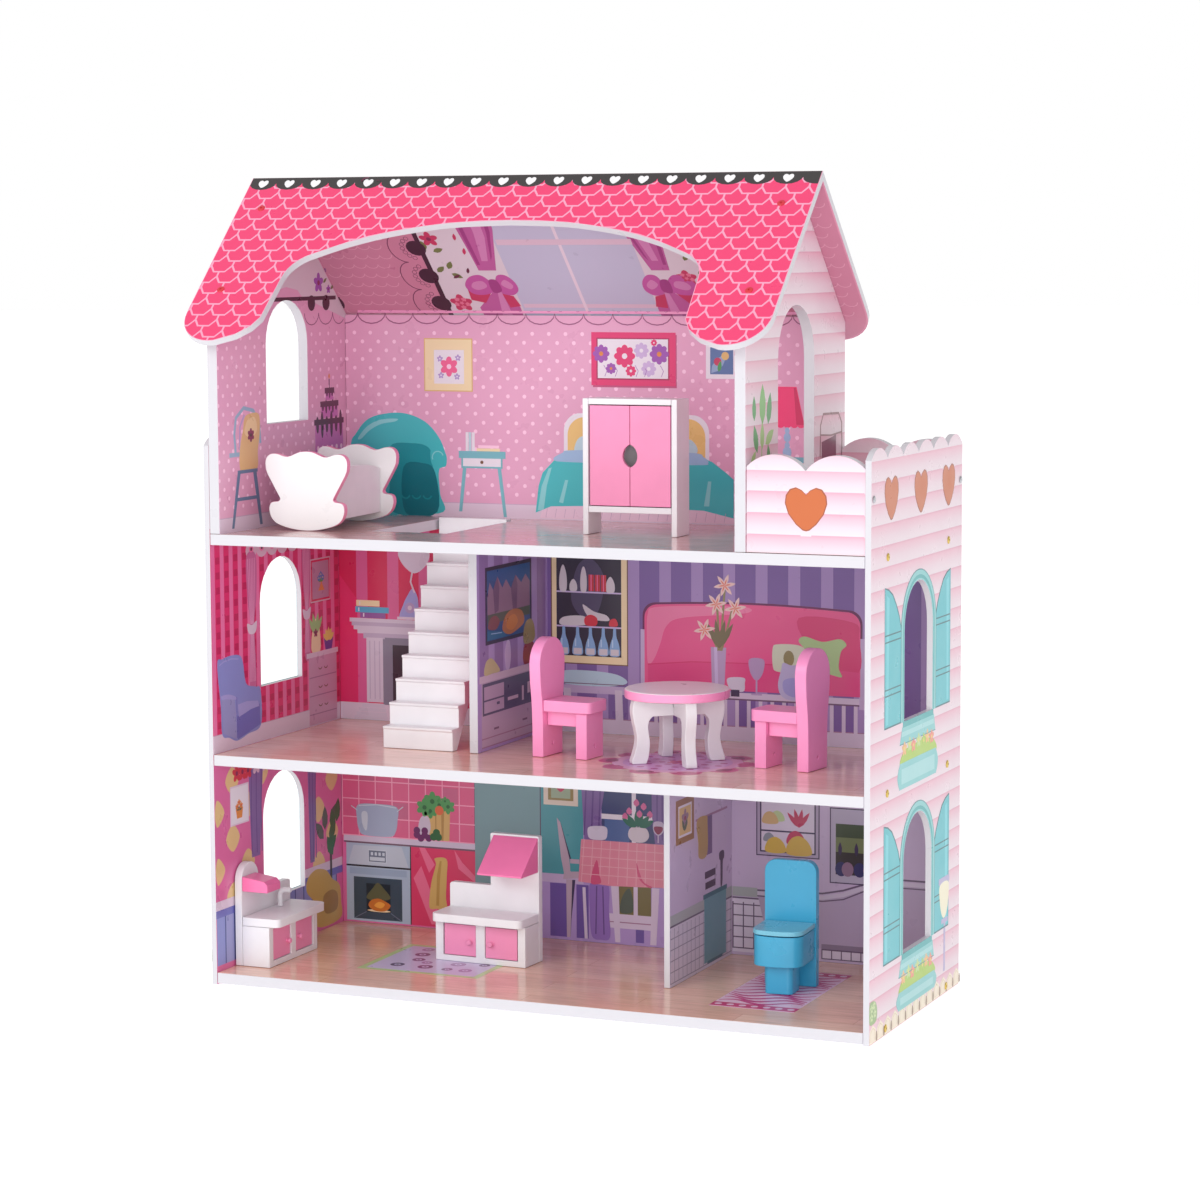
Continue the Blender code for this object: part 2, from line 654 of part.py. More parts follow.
def chair(side, x, y, turn):
    """Chair drawn facing +x: back board, seat, apron rail and front leg board."""
    root = unit("chair_" + side + "_unit", x, y, MIDDLE_TOP, turn)
    half, back, height = 0.0175, 0.0106, 0.1020
    hole = circle((0, 0.0105), 0.0016, 12)
    wide = 0.0222
    edge = smooth([(half, 0), (0.0178, 0.0300), (0.0190, 0.0480), (0.0214, 0.0650),
                   (wide, height - wide)], 4)
    head = arc((0, height - wide), wide, 0, 180, 20)[1:-1]
    outline = edge + head + [(-u, v) for u, v in reversed(edge)]
    rear = (-0.0250, -0.0250 + back)
    plate("chair_" + side + "_back", outline, "pink_paint", "X", rear, [hole], root)
    front, under, top = 0.0308, 0.0392, 0.0494
    r = 0.0060
    plan = [(rear[1] + GAP, half), (rear[1] + GAP, -half), (front - r, -half)]
    plan += arc((front - r, -half + r), r, 270, 360, 5)[1:] + arc((front - r, half - r), r, 0, 90, 5)
    plate("chair_" + side + "_seat", plan, "pink_paint", "Z", (under + GAP, top), parent=root)
    legs = (0.0160, 0.0265)
    leg = rectangle((-0.0150, 0.0150), (0, under))
    plate("chair_" + side + "_front_leg", leg, "pink_paint", "X", legs, [hole], root)
    box("chair_" + side + "_apron", (rear[1] + GAP, legs[0] - GAP), (-0.0105, 0.0105),
        (0.0270, under), "pink_paint", root)


def cradle():
    """Two rocker boards joined by two side panels and a bottom; it rocks about its arcs."""
    radius = 0.0750
    root = bpy.data.objects.new("cradle_unit", None)
    house.objects.link(root)
    root.empty_display_size = 0.02
    root.location = (hx(-0.2340), hy(0.1125), ATTIC_TOP + GAP + radius)
    root.rotation_euler = (0, 0, math.radians(3.5))
    half = [(0, 0.0685), (0.0060, 0.0680), (0.0115, 0.0658), (0.0170, 0.0638), (0.0220, 0.0644),
            (0.0270, 0.0660), (0.0325, 0.0662), (0.0365, 0.0640), (0.0385, 0.0600),
            (0.0384, 0.0540), (0.0365, 0.0480), (0.0262, 0.0298), (0.0252, 0.0270),
            (0.0268, 0.0250), (0.0310, 0.0246), (0.0342, 0.0232), (0.0355, 0.0195),
            (0.0352, 0.0150), (0.0330, 0.0098), (0.0292, 0.0062), (0.0248, 0.0042)]
    half = smooth(half, 2)
    half += [(radius * math.sin(math.radians(a)), radius * (1 - math.cos(math.radians(a))))
             for a in (15.5, 11.6, 7.7, 3.9, 0)]
    outline = shift(mirrored(half), 0, -radius)
    reach, board = 0.0573, 0.0070
    for name, y in (("front", -reach), ("rear", reach - board)):
        plate("cradle_end_" + name, outline, "white_board", "Y", (y, y + board), parent=root)
    inside = (-reach + board + GAP, reach - board - GAP)
    low, high, panel = 0.0085 - radius, 0.0480 - radius, 0.0042
    crest = bulge((inside[0], high), (inside[1], high), 0.0055, 10)
    side = [(inside[0], low), (inside[1], low), (inside[1], high)] + crest[:0:-1] + crest[:1]
    for name, x in (("left", (-0.0232, -0.0232 + panel)), ("right", (0.0232 - panel, 0.0232))):
        plate("cradle_side_" + name, side, "white_board", "X", x, parent=root)
    box("cradle_bottom", (-0.0232 + panel + GAP, 0.0232 - panel - GAP), inside,
        (low, low + 0.0040), "white_board", root)


clear_scene()
house = collection("wooden_dollhouse")
cutters = collection("cutters")
floors()
outer_walls()
attic_walls()
inner_walls()
roof()
parapets()
parapet_screws()
staircase()
wardrobe()
stove()
sink()
toilet()
table()
chair("left", -0.0080, 0.1065, -5.0)
chair("right", 0.1922, 0.1155, 172.5)
cradle()
bpy.context.view_layer.update()
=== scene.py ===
"""Looks of the wooden dollhouse: boards, prints, paint, screws, light and camera.

Every printed picture is drawn from flat shapes on the face of its board, in millimetres.
"""

import math

import bpy
from mathutils import Matrix, Vector


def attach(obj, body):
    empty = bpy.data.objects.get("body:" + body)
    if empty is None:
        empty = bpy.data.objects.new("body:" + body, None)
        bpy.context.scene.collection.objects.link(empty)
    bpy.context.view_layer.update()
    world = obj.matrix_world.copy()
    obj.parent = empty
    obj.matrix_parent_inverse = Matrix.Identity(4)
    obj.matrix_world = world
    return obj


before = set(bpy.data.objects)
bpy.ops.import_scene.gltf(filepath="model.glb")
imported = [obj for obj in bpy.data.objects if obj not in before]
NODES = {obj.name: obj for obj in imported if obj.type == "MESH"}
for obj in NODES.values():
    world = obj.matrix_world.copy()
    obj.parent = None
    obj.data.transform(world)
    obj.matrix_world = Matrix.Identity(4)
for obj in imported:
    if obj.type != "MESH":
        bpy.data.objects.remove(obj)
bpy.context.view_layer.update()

MM = 0.001
LAYER = 0.030 * MM                  # height of one layer of print over the one below it
PAPER = 0.015 * MM                  # the lowest print's distance from its board
STEP = 0.0011 * MM                  # keeps overlapping shapes of one layer apart

X = Vector((1, 0, 0))
Y = Vector((0, 1, 0))
Z = Vector((0, 0, 1))

GROUND, MIDDLE, ATTIC = 0.0107, 0.2019, 0.3931      # tops of the three floors
FRONT, BACK = -0.1225, 0.1140                       # the walls' front edges and the panels' faces
INNER_EDGE = -0.0340                                # front edges of the two partitions
LEFT_IN, RIGHT_IN = -0.28815, 0.30185               # inner faces of the two outer walls
LEFT_OUT, RIGHT_OUT = -0.29315, 0.30685             # their outer faces

CUT_EDGE = (210, 208, 214)                          # colour of the boards' cut edges
CREASE = math.radians(32)                           # an edge that turns further is a sharp one


# ---------------------------------------------------------------- materials

def linear(colour):
    """A display colour, 0 to 255, as the linear light that shaders take."""
    light = []
    for part in colour:
        value = part / 255
        light.append(value / 12.92 if value <= 0.04045 else ((value + 0.055) / 1.055) ** 2.4)
    return (*light, 1.0)


class Tree:
    """Short calls for building one material's nodes."""

    def __init__(self, name):
        self.material = bpy.data.materials.new(name)
        self.material.use_nodes = True
        self.tree = self.material.node_tree
        self.shader = self.tree.nodes["Principled BSDF"]
        self.places = None

    def new(self, kind, **settings):
        node = self.tree.nodes.new(kind)
        for name, value in settings.items():
            setattr(node, name, value)
        return node

    def feed(self, socket, value):
        if isinstance(value, bpy.types.NodeSocket):
            self.tree.links.new(value, socket)
        else:
            socket.default_value = value

    def at(self):
        """Place on the piece, in metres, which turns and moves with it."""
        if self.places is None:
            self.places = self.new("ShaderNodeTexCoord")
        return self.places.outputs["Object"]

    def facing(self, direction, least=0.7):
        """1 on faces that look along a direction, 0 on the others."""
        self.at()
        dot = self.new("ShaderNodeVectorMath", operation="DOT_PRODUCT")
        self.feed(dot.inputs[0], self.places.outputs["Normal"])
        dot.inputs[1].default_value = tuple(direction)
        return self.math("GREATER_THAN", dot.outputs["Value"], least)

    def split(self):
        parts = self.new("ShaderNodeSeparateXYZ")
        self.feed(parts.inputs[0], self.at())
        return parts.outputs

    def math(self, operation, a, b=0.0, c=0.0):
        node = self.new("ShaderNodeMath", operation=operation)
        for socket, value in zip(node.inputs, (a, b, c)):
            self.feed(socket, value)
        return node.outputs[0]

    def mix(self, share, a, b):
        node = self.new("ShaderNodeMix", data_type="RGBA")
        for socket, value in ((node.inputs[0], share), (node.inputs[6], a), (node.inputs[7], b)):
            self.feed(socket, value)
        return node.outputs[2]

    def ramp(self, value, *stops):
        """Colours or grey levels along a value; each stop is (place, level or colour)."""
        node = self.new("ShaderNodeValToRGB")
        elements = node.color_ramp.elements
        while len(elements) < len(stops):
            elements.new(0.5)
        for element, (place, level) in zip(elements, stops):
            element.position = place
            element.color = level if isinstance(level, tuple) else (level, level, level, 1)
        self.feed(node.inputs[0], value)
        return node.outputs[0]

    def noise(self, size, stretch=(1, 1, 1), detail=3.0, rough=0.55):
        """Noise whose features measure about the given size in metres."""
        mapping = self.new("ShaderNodeMapping")
        self.feed(mapping.inputs["Vector"], self.at())
        mapping.inputs["Scale"].default_value = tuple(1 / (size * part) for part in stretch)
        node = self.new("ShaderNodeTexNoise")
        node.inputs["Scale"].default_value = 1.0
        node.inputs["Detail"].default_value = detail
        node.inputs["Roughness"].default_value = rough
        self.feed(node.inputs["Vector"], mapping.outputs[0])
        return node.outputs["Fac"]

    def bump(self, height, distance, strength=1.0):
        node = self.new("ShaderNodeBump")
        node.inputs["Distance"].default_value = distance
        node.inputs["Strength"].default_value = strength
        self.feed(node.inputs["Height"], height)
        self.feed(self.shader.inputs["Normal"], node.outputs[0])

    def surface(self, colour, roughness, coat=0.0):
        self.feed(self.shader.inputs["Base Color"], colour)
        self.feed(self.shader.inputs["Roughness"], roughness)
        self.shader.inputs["Coat Weight"].default_value = coat
        self.shader.inputs["Coat Roughness"].default_value = 0.12


def painted(name, colour, roughness=0.34, coat=0.15):
    """Sprayed paint on MDF: faint orange peel, a little cloudiness and roller shine."""
    tree = Tree(name)
    cloud = tree.noise(0.060)
    base = linear(colour)
    low = tuple(part * 0.93 for part in base[:3]) + (1.0,)
    high = tuple(min(1.0, part * 1.04) for part in base[:3]) + (1.0,)
    shade = tree.ramp(cloud, (0.30, low), (0.70, high))
    gloss = tree.ramp(tree.noise(0.018), (0.3, roughness - 0.05), (0.7, roughness + 0.06))
    tree.surface(shade, gloss, coat)
    tree.bump(tree.noise(0.007, detail=1.0), 0.00003, 0.3)
    return tree.material


def white_board():
    """White paint on MDF, for everything that has neither paper nor colour."""
    return painted("white_board", (236, 234, 238), 0.36, 0.1)


def broad_side(node):
    """Direction in which a board's largest face looks."""
    face = max(NODES[node].data.polygons, key=lambda polygon: polygon.area)
    return Vector(face.normal)


def printed_board(name, front, paper, back=None, edge=CUT_EDGE):
    """A board with plain edges and printed paper on its two faces, or on the front one only."""
    tree = Tree(name)
    shade = linear(edge)
    for direction, print_on in ((Vector(front), paper), (-Vector(front), back)):
        if print_on is not None:
            colour = print_on(tree) if callable(print_on) else linear(print_on)
            shade = tree.mix(tree.facing(direction), shade, colour)
    cloud = tree.ramp(tree.noise(0.080), (0.3, 0.97), (0.7, 1.0))
    tinted = tree.new("ShaderNodeMix", data_type="RGBA", blend_type="MULTIPLY")
    tinted.inputs[0].default_value = 1.0
    tree.feed(tinted.inputs[6], shade)
    tree.feed(tinted.inputs[7], cloud)
    gloss = tree.ramp(tree.noise(0.020), (0.3, 0.26), (0.7, 0.36))
    tree.surface(tinted.outputs[2], gloss, 0.12)
    tree.bump(tree.noise(0.009, detail=1.0), 0.00003, 0.25)
    return tree.material


def clapboard(first):
    """Siding boards that fade from pink at the top to pale; first is a board's lower edge."""
    def paper(tree):
        height = tree.math("DIVIDE", tree.math("SUBTRACT", tree.split()["Z"], first - 0.173), 0.0173)
        share = tree.math("FRACT", height)
        return tree.ramp(share, (0.0, linear((234, 218, 226))), (0.45, linear((232, 206, 217))),
                         (0.85, linear((232, 186, 202))), (1.0, linear((228, 172, 190))))
    return paper


def rooms(ground, middle):
    """One wallpaper colour for each storey, and pale siding above the attic floor."""
    def paper(tree):
        height = tree.split()["Z"]
        indoors = tree.mix(tree.math("GREATER_THAN", height, 0.1972), linear(ground), linear(middle))
        return tree.mix(tree.math("GREATER_THAN", height, 0.3975), indoors, linear((240, 214, 224)))
    return paper


def plank_floor(name, *planks):
    """Printed laminate: salmon planks with grain, seams and a strong gloss; pale edges."""
    tree = Tree(name)
    share = tree.facing(Z)
    brick = tree.new("ShaderNodeTexBrick", offset=0.5)
    turned = tree.new("ShaderNodeMapping")
    tree.feed(turned.inputs["Vector"], tree.at())
    tree.feed(brick.inputs["Vector"], turned.outputs[0])
    brick.inputs["Scale"].default_value = 1.0
    brick.inputs["Brick Width"].default_value = 0.190
    brick.inputs["Row Height"].default_value = 0.0245
    brick.inputs["Mortar Size"].default_value = 0.0003
    brick.inputs["Mortar Smooth"].default_value = 0.4
    brick.inputs["Bias"].default_value = 0.0
    brick.inputs["Color1"].default_value = linear(planks[0])
    brick.inputs["Color2"].default_value = linear(planks[1])
    brick.inputs["Mortar"].default_value = linear(planks[2])
    grain = tree.ramp(tree.noise(0.003, (9, 1, 1), 5.0), (0.3, 0.86), (0.7, 1.06))
    patch = tree.ramp(tree.noise(0.045, (2.5, 1, 1)), (0.3, 0.93), (0.7, 1.05))
    grained = tree.new("ShaderNodeMix", data_type="RGBA", blend_type="MULTIPLY")
    grained.inputs[0].default_value = 1.0
    tree.feed(grained.inputs[6], brick.outputs["Color"])
    tree.feed(grained.inputs[7], tree.math("MULTIPLY", grain, patch))
    shade = tree.mix(share, linear(CUT_EDGE), grained.outputs[2])
    gloss = tree.ramp(tree.noise(0.030), (0.3, 0.15), (0.7, 0.24))
    tree.surface(shade, tree.mix(share, (0.36, 0.36, 0.36, 1), gloss), 0.3)
    tree.bump(tree.noise(0.006, (6, 1, 1), 1.0), 0.00003, 0.25)
    return tree.material


def metal(name, colour, roughness=0.28):
    """Bare metal, slightly worn and unevenly polished."""
    tree = Tree(name)
    tree.shader.inputs["Metallic"].default_value = 1.0
    base = linear(colour)
    worn = tuple(part * 0.8 for part in base[:3]) + (1.0,)
    shade = tree.ramp(tree.noise(0.0012), (0.3, worn), (0.7, base))
    gloss = tree.ramp(tree.noise(0.0008), (0.3, roughness - 0.06), (0.7, roughness + 0.1))
    tree.surface(shade, gloss)
    return tree.material


# ---------------------------------------------------------------- printing

INKS = {
    "white": (246, 244, 247), "paper": (236, 228, 238), "cream": (243, 220, 178),
    "gold": (226, 186, 120), "yellow": (232, 205, 110), "mustard": (206, 172, 96),
    "tan": (214, 176, 112), "orange": (226, 140, 70), "brown": (120, 82, 62),
    "dark_brown": (70, 48, 42), "heart": (198, 104, 56), "heart_edge": (160, 88, 62),
    "red": (214, 58, 74), "wine": (140, 44, 84), "maroon": (104, 40, 66), "scale": (240, 62, 116),
    "black": (54, 49, 50), "ink": (44, 40, 46), "lace": (150, 78, 118), "attic_dot": (255, 209, 233),
    "hot_dark": (196, 34, 92), "stripe_pink": (238, 120, 172), "pink": (240, 100, 150),
    "sofa": (236, 92, 148), "sofa_light": (242, 132, 174), "teal": (70, 190, 196),
    "teal_dark": (30, 150, 160), "teal_deep": (12, 118, 130), "teal_light": (142, 214, 218),
    "teal_grey": (126, 160, 166), "teal_wall": (80, 156, 166), "shutter": (80, 184, 194),
    "shutter_line": (38, 104, 112), "frame": (130, 198, 200), "frame_dark": (66, 168, 170),
    "blue": (70, 120, 190), "navy": (66, 74, 120), "grey": (150, 152, 166), "steel": (196, 204, 218),
    "lilac": (180, 152, 208), "lilac_light": (208, 188, 226), "bath": (206, 184, 214),
    "bath_light": (226, 212, 230), "tile_line": (150, 138, 162), "kitchen_tile": (226, 98, 142),
    "kitchen_line": (248, 168, 198), "green": (84, 158, 92), "green_dark": (46, 104, 60),
    "green_light": (160, 196, 120), "green_pale": (198, 214, 160), "olive": (118, 122, 74),
    "plum": (112, 64, 118), "rug": (206, 194, 226), "rug_pink": (228, 168, 204),
    "diamond": (230, 196, 140), "dusk": (206, 132, 158), "dusk_line": (226, 166, 188),
    "under_white": (222, 206, 216), "under_black": (72, 40, 56), "under_lace": (120, 60, 90),
    "mauve": (150, 90, 140), "rose_dark": (200, 60, 100), "rose_light": (226, 120, 150),
    "drape": (192, 96, 158), "drape_light": (212, 134, 184), "drape_dark": (164, 66, 132),
    "drape_bow": (196, 90, 162), "pane": (196, 192, 216), "pane_bar": (222, 192, 210),
    "pane_bar_light": (232, 212, 226), "skirting": (226, 206, 224), "skirting_line": (204, 172, 200),
    "attic_lace_ground": (236, 152, 194), "lace_soft": (176, 96, 140), "teal_soft": (122, 186, 198),
    "teal_pale": (190, 214, 226), "gold_dark": (190, 150, 92), "rose_shadow": (196, 80, 128),
    "frame_pink": (226, 58, 118), "frame_pink_dark": (170, 40, 92), "lilac_deep": (160, 86, 178),
    "lilac_pale": (206, 180, 222), "denim": (96, 120, 170), "denim_light": (150, 172, 206),
    "cream_deep": (236, 196, 124), "sky_soft": (160, 190, 224), "skirt": (238, 206, 226),
    "lamp_pink": (246, 64, 124), "lamp_dark": (214, 40, 100), "slate_blue": (104, 128, 160),
    "blue_soft": (150, 180, 206), "lilac_soft": (190, 160, 206), "cushion": (226, 184, 128),
    "cushion_light": (238, 206, 156), "cake": (208, 116, 186), "cake_dark": (92, 40, 70),
    "voile": (206, 110, 160), "voile_light": (236, 170, 206), "voile_pale": (222, 184, 204),
    "furniture_mauve": (208, 160, 190), "mauve_line": (168, 120, 154), "peri": (140, 148, 212),
    "peri_dark": (112, 112, 190), "peri_light": (168, 164, 222), "peri_soft": (154, 156, 208),
    "peri_deep": (70, 84, 150), "mauve_paper": (190, 140, 170), "violet": (96, 70, 150),
    # The brighter of the two hot pinks is painted light, for a lit patch in a corner of the fireplace wall.
    "violet_soft": (150, 90, 160), "hot_deep": (216, 30, 86), "hot_painted_highlight": (228, 44, 106),
    "stripe_mid": (222, 96, 152), "mantel": (196, 178, 204), "mantel_light": (218, 204, 222),
    "stone": (140, 132, 152), "stone_dark": (62, 44, 58), "book_blue": (90, 170, 208),
    "ink_frame": (52, 40, 66), "deep_blue": (44, 84, 140), "evening_sky": (40, 92, 150),
    "mauve_dusk": (150, 116, 142), "mauve_shadow": (120, 88, 120), "green_dusk": (84, 96, 84),
    "shrub": (184, 116, 70), "orange_dusk": (206, 130, 62), "brick_dusk": (140, 82, 88),
    "lake": (44, 108, 150), "purple_mid": (150, 118, 176), "cabinet_mauve": (196, 170, 196),
    "cabinet_light": (214, 192, 210), "slate_purple": (88, 84, 112), "cushion_dusk": (204, 190, 140),
    "red_dusk": (150, 30, 44), "olive_gold": (160, 142, 90), "cabinet_dark": (52, 42, 62),
    "cabinet_glass": (84, 74, 104), "china": (216, 206, 214), "red_soft": (206, 60, 72),
    "bottle": (140, 176, 220), "bottle_light": (190, 214, 240), "wine_line": (110, 40, 92),
    "sofa_deep": (222, 62, 122), "sofa_seat": (230, 78, 138), "rail_lilac": (200, 178, 214),
    "rail_light": (216, 200, 222), "bench_blue": (190, 214, 230), "stem": (150, 140, 96),
    "stem_dark": (120, 110, 80), "lily": (240, 206, 200), "lily_deep": (230, 130, 110),
    "china_lilac": (216, 206, 224), "dark_mug": (62, 44, 80), "cushion_green": (176, 206, 144),
    "cushion_cream": (214, 220, 196), "vase_lilac": (188, 160, 200), "jug": (196, 188, 224),
    "stripe_lilac": (170, 142, 196), "stripe_purple": (126, 96, 162), "kitchen_soft": (206, 104, 142),
    "counter": (214, 200, 222), "counter_dark": (120, 90, 110), "steel_blue": (176, 192, 212),
    "steel_light": (206, 214, 226), "steel_soft": (158, 176, 200), "steel_line": (110, 120, 142),
    "slate_dark": (62, 78, 92), "oven_dark": (34, 44, 52), "olive_dusk": (96, 96, 66),
    "roast": (206, 116, 48), "roast_light": (240, 164, 70), "cupboard_pink": (222, 62, 106),
    "cupboard_glow": (238, 116, 152), "towel": (214, 178, 106), "towel_dark": (190, 150, 80),
    "pot": (168, 180, 206), "tan_dark": (184, 142, 82), "sack": (210, 196, 214),
    "carrot": (222, 110, 70), "grape": (110, 40, 100), "ink_soft": (90, 70, 96),
    "purple_band": (112, 88, 162), "cream_pale": (226, 210, 196), "olive_frame": (150, 130, 80),
    "sage": (160, 176, 150), "navy_light": (84, 108, 160), "curtain_purple": (132, 104, 162),
    "curtain_shade": (106, 80, 140), "curtain_violet": (150, 116, 190), "olive_view": (120, 110, 70),
    "gingham": (226, 140, 160), "gingham_line": (236, 176, 190), "gingham_dark": (214, 90, 130),
    "chair_mauve": (190, 166, 184), "chair_line": (70, 60, 90), "green_deep": (44, 110, 90),
    "tulip": (216, 110, 160), "glass": (200, 184, 208), "tile_lilac": (214, 202, 218),
    "rail_sage": (176, 176, 178), "tile_dark": (104, 88, 112), "bronze": (156, 112, 88),
    "gold_soft": (216, 180, 130), "mustard_soft": (186, 150, 96), "violet_dusk": (120, 92, 138),
    "cabinet_teal": (104, 150, 162), "cabinet_teal_dark": (60, 104, 118), "towel_plum": (66, 40, 66),
    "bath_line": (112, 92, 118), "ink_purple": (70, 52, 86), "cabinet_rim": (186, 168, 194),
    "yellow_soft": (222, 184, 80), "frame_lilac": (190, 178, 200), "olive_deep": (74, 84, 60),
    "olive_light": (124, 132, 90), "dark_wood": (66, 56, 56), "indigo": (62, 56, 104),
    "rose_dusk": (196, 130, 160), "tub": (192, 172, 200), "tub_line": (112, 92, 118),
    "tub_rim": (214, 200, 220), "tub_shade": (150, 132, 156), "mustard_dark": (170, 132, 76),
    "siding_line": (222, 166, 186), "shutter_light": (110, 202, 212), "shutter_edge": (76, 160, 172),
    "frame_edge": (76, 140, 146), "frame_light": (160, 212, 214), "green_lime": (170, 200, 80),
    "lime_soft": (190, 212, 140), "peach": (232, 180, 120), "coral": (232, 140, 120),
    "post_lilac": (180, 170, 206), "lantern": (240, 232, 204), "sage_bush": (150, 176, 120),
    "fence_ground": (220, 206, 180), "fence": (240, 226, 206), "fence_edge": (214, 190, 166),
    "fence_gap": (156, 130, 110), "chair_brown": (146, 100, 106), "maroon_soft": (130, 66, 94),
    "green_mid": (130, 186, 110), "plum_dark": (76, 50, 96), "plum_soft": (160, 120, 172),
    "zebra_light": (244, 206, 226), "zebra": (200, 34, 122), "rug_wine": (206, 40, 110),
    "rug_rose": (200, 86, 130), "rug_dark": (150, 50, 90), "rug_lilac": (214, 160, 210),
    "rug_dot": (176, 60, 140),
}


def ink(name):
    """Printed colour under a thin clear film."""
    label = "ink_" + name
    found = bpy.data.materials.get(label)
    if found:
        return found
    tree = Tree(label)
    gloss = tree.ramp(tree.noise(0.020), (0.3, 0.27), (0.7, 0.36))
    tree.surface(linear(INKS[name]), gloss, 0.12)
    tree.bump(tree.noise(0.009, detail=1.0), 0.00003, 0.25)
    return tree.material


def arc(u, v, radius, start, end, steps=12, radius_v=None):
    """Points on an arc, angles in degrees."""
    tall = radius if radius_v is None else radius_v
    angles = [math.radians(start + (end - start) * i / steps) for i in range(steps + 1)]
    return [(u + radius * math.cos(a), v + tall * math.sin(a)) for a in angles]


def rounded(points, steps=5):
    """Closed smooth curve through the points."""
    made = []
    count = len(points)
    for i in range(count):
        a, b, c, d = (Vector(points[(i + k) % count]) for k in (-1, 0, 1, 2))
        for j in range(steps):
            t = j / steps
            bend = (2 * a - 5 * b + 4 * c - d) * t * t + (3 * (b - c) + d - a) * t ** 3
            made.append(tuple((2 * b + (c - a) * t + bend) / 2))
    return made


class Print:
    """Printed shapes on one face of a board, in millimetres from its lower left corner.

    Every shape says its layer: a higher one lies over a lower one. The window is an arched
    opening as (middle, half width, sill, top), which wallpaper leaves free. A flipped print
    faces the other way, so it is the mirror image for an opposite wall.
    """

    def __init__(self, name, corner, right, up, window=None, slot="printed_pink_board", flip=False):
        self.name = name
        self.corner = Vector(corner)
        self.right = Vector(right)
        self.up = Vector(up)
        self.out = self.right.cross(self.up) * (-1 if flip else 1)
        self.flip = flip
        self.window = window
        self.slot = slot
        self.points = []
        self.faces = []
        self.face_inks = []
        self.inks = []
        self.count = 0

    def shape(self, layer, name, points):
        """One flat slab of ink with the given outline."""
        area = sum(a[0] * b[1] - b[0] * a[1] for a, b in zip(points, points[1:] + points[:1]))
        if area < 0:
            points = points[::-1]
        first = len(self.points)
        count = len(points)
        self.count += 1
        top = PAPER + LAYER * layer + STEP * (self.count % 20)
        for height in (0.2 * PAPER, top):
            for u, v in points:
                place = self.corner + (self.right * u + self.up * v) * MM + self.out * height
                self.points.append(place)
        low = list(range(first, first + count))
        high = [i + count for i in low]
        sides = [(low[i - 1], low[i], high[i], high[i - 1]) for i in range(count)]
        made = [tuple(low[::-1]), tuple(high)] + sides
        if self.flip:
            made = [face[::-1] for face in made]
        if name not in self.inks:
            self.inks.append(name)
        self.faces += made
        self.face_inks += [self.inks.index(name)] * len(made)

    def rect(self, layer, name, u0, v0, u1, v1):
        self.shape(layer, name, [(u0, v0), (u1, v0), (u1, v1), (u0, v1)])

    def disc(self, layer, name, u, v, radius, tall=None, turn=0, steps=16):
        cos, sin = math.cos(math.radians(turn)), math.sin(math.radians(turn))
        ring = arc(0, 0, radius, 0, 360, steps, tall)[:-1]
        self.shape(layer, name, [(u + a * cos - b * sin, v + a * sin + b * cos) for a, b in ring])

    def blob(self, layer, name, *points):
        self.shape(layer, name, rounded(points))

    def line(self, layer, name, width, points, closed=False):
        """A stroke of even width along the points."""
        path = [Vector(point) for point in points]
        last = len(path) - 1
        left, right = [], []
        for i, here in enumerate(path):
            before = path[i - 1] if i or closed else here
            after = path[(i + 1) % len(path)] if i < last or closed else here
            along = (after - before).normalized()
            side = Vector((-along.y, along.x)) * width / 2
            left.append(tuple(here + side))
            right.append(tuple(here - side))
        if closed:
            for i in range(len(path)):
                self.shape(layer, name, [left[i - 1], left[i], right[i], right[i - 1]])
        else:
            self.shape(layer, name, left + right[::-1])

    def heart(self, layer, name, u, v, width):
        """Heart whose middle is at (u, v)."""
        half = [(0, 0.30), (0.10, 0.40), (0.24, 0.46), (0.38, 0.42), (0.48, 0.28), (0.50, 0.10),
                (0.42, -0.14), (0.24, -0.37), (0.08, -0.50), (0, -0.52)]
        ring = half + [(-a, b) for a, b in half[-2:0:-1]]
        self.shape(layer, name, [(u + a * width, v + b * width) for a, b in ring])

    def flower(self, layer, petal, middle, u, v, radius, petals=5, turn=90):
        for i in range(petals):
            angle = math.radians(turn + 360 * i / petals)
            self.disc(layer, petal, u + 0.55 * radius * math.cos(angle),
                      v + 0.55 * radius * math.sin(angle), 0.48 * radius, 0.34 * radius,
                      math.degrees(angle), 10)
        self.disc(layer + 1, middle, u, v, 0.26 * radius, steps=10)

    def leaf(self, layer, name, u, v, length, turn, wide=0.36):
        """Pointed leaf from (u, v) in the direction turn."""
        half = [(0, 0), (0.25, 0.30), (0.55, 0.34), (0.80, 0.20), (1, 0)]
        ring = half + [(a, -b) for a, b in half[-2:0:-1]]
        cos, sin = math.cos(math.radians(turn)), math.sin(math.radians(turn))
        points = [(a * length, b * length * wide / 0.34 * 0.5) for a, b in ring]
        self.shape(layer, name, [(u + a * cos - b * sin, v + a * sin + b * cos) for a, b in points])

    def framed(self, layer, frame_ink, inner_ink, u0, v0, u1, v1, border):
        self.rect(layer, frame_ink, u0, v0, u1, v1)
        self.rect(layer + 1, inner_ink, u0 + border, v0 + border, u1 - border, v1 - border)

    def head(self, u):
        """Height of the window's arch at u."""
        middle, half, _, top = self.window
        return top - half + math.sqrt(max(0.0, half * half - (u - middle) ** 2))

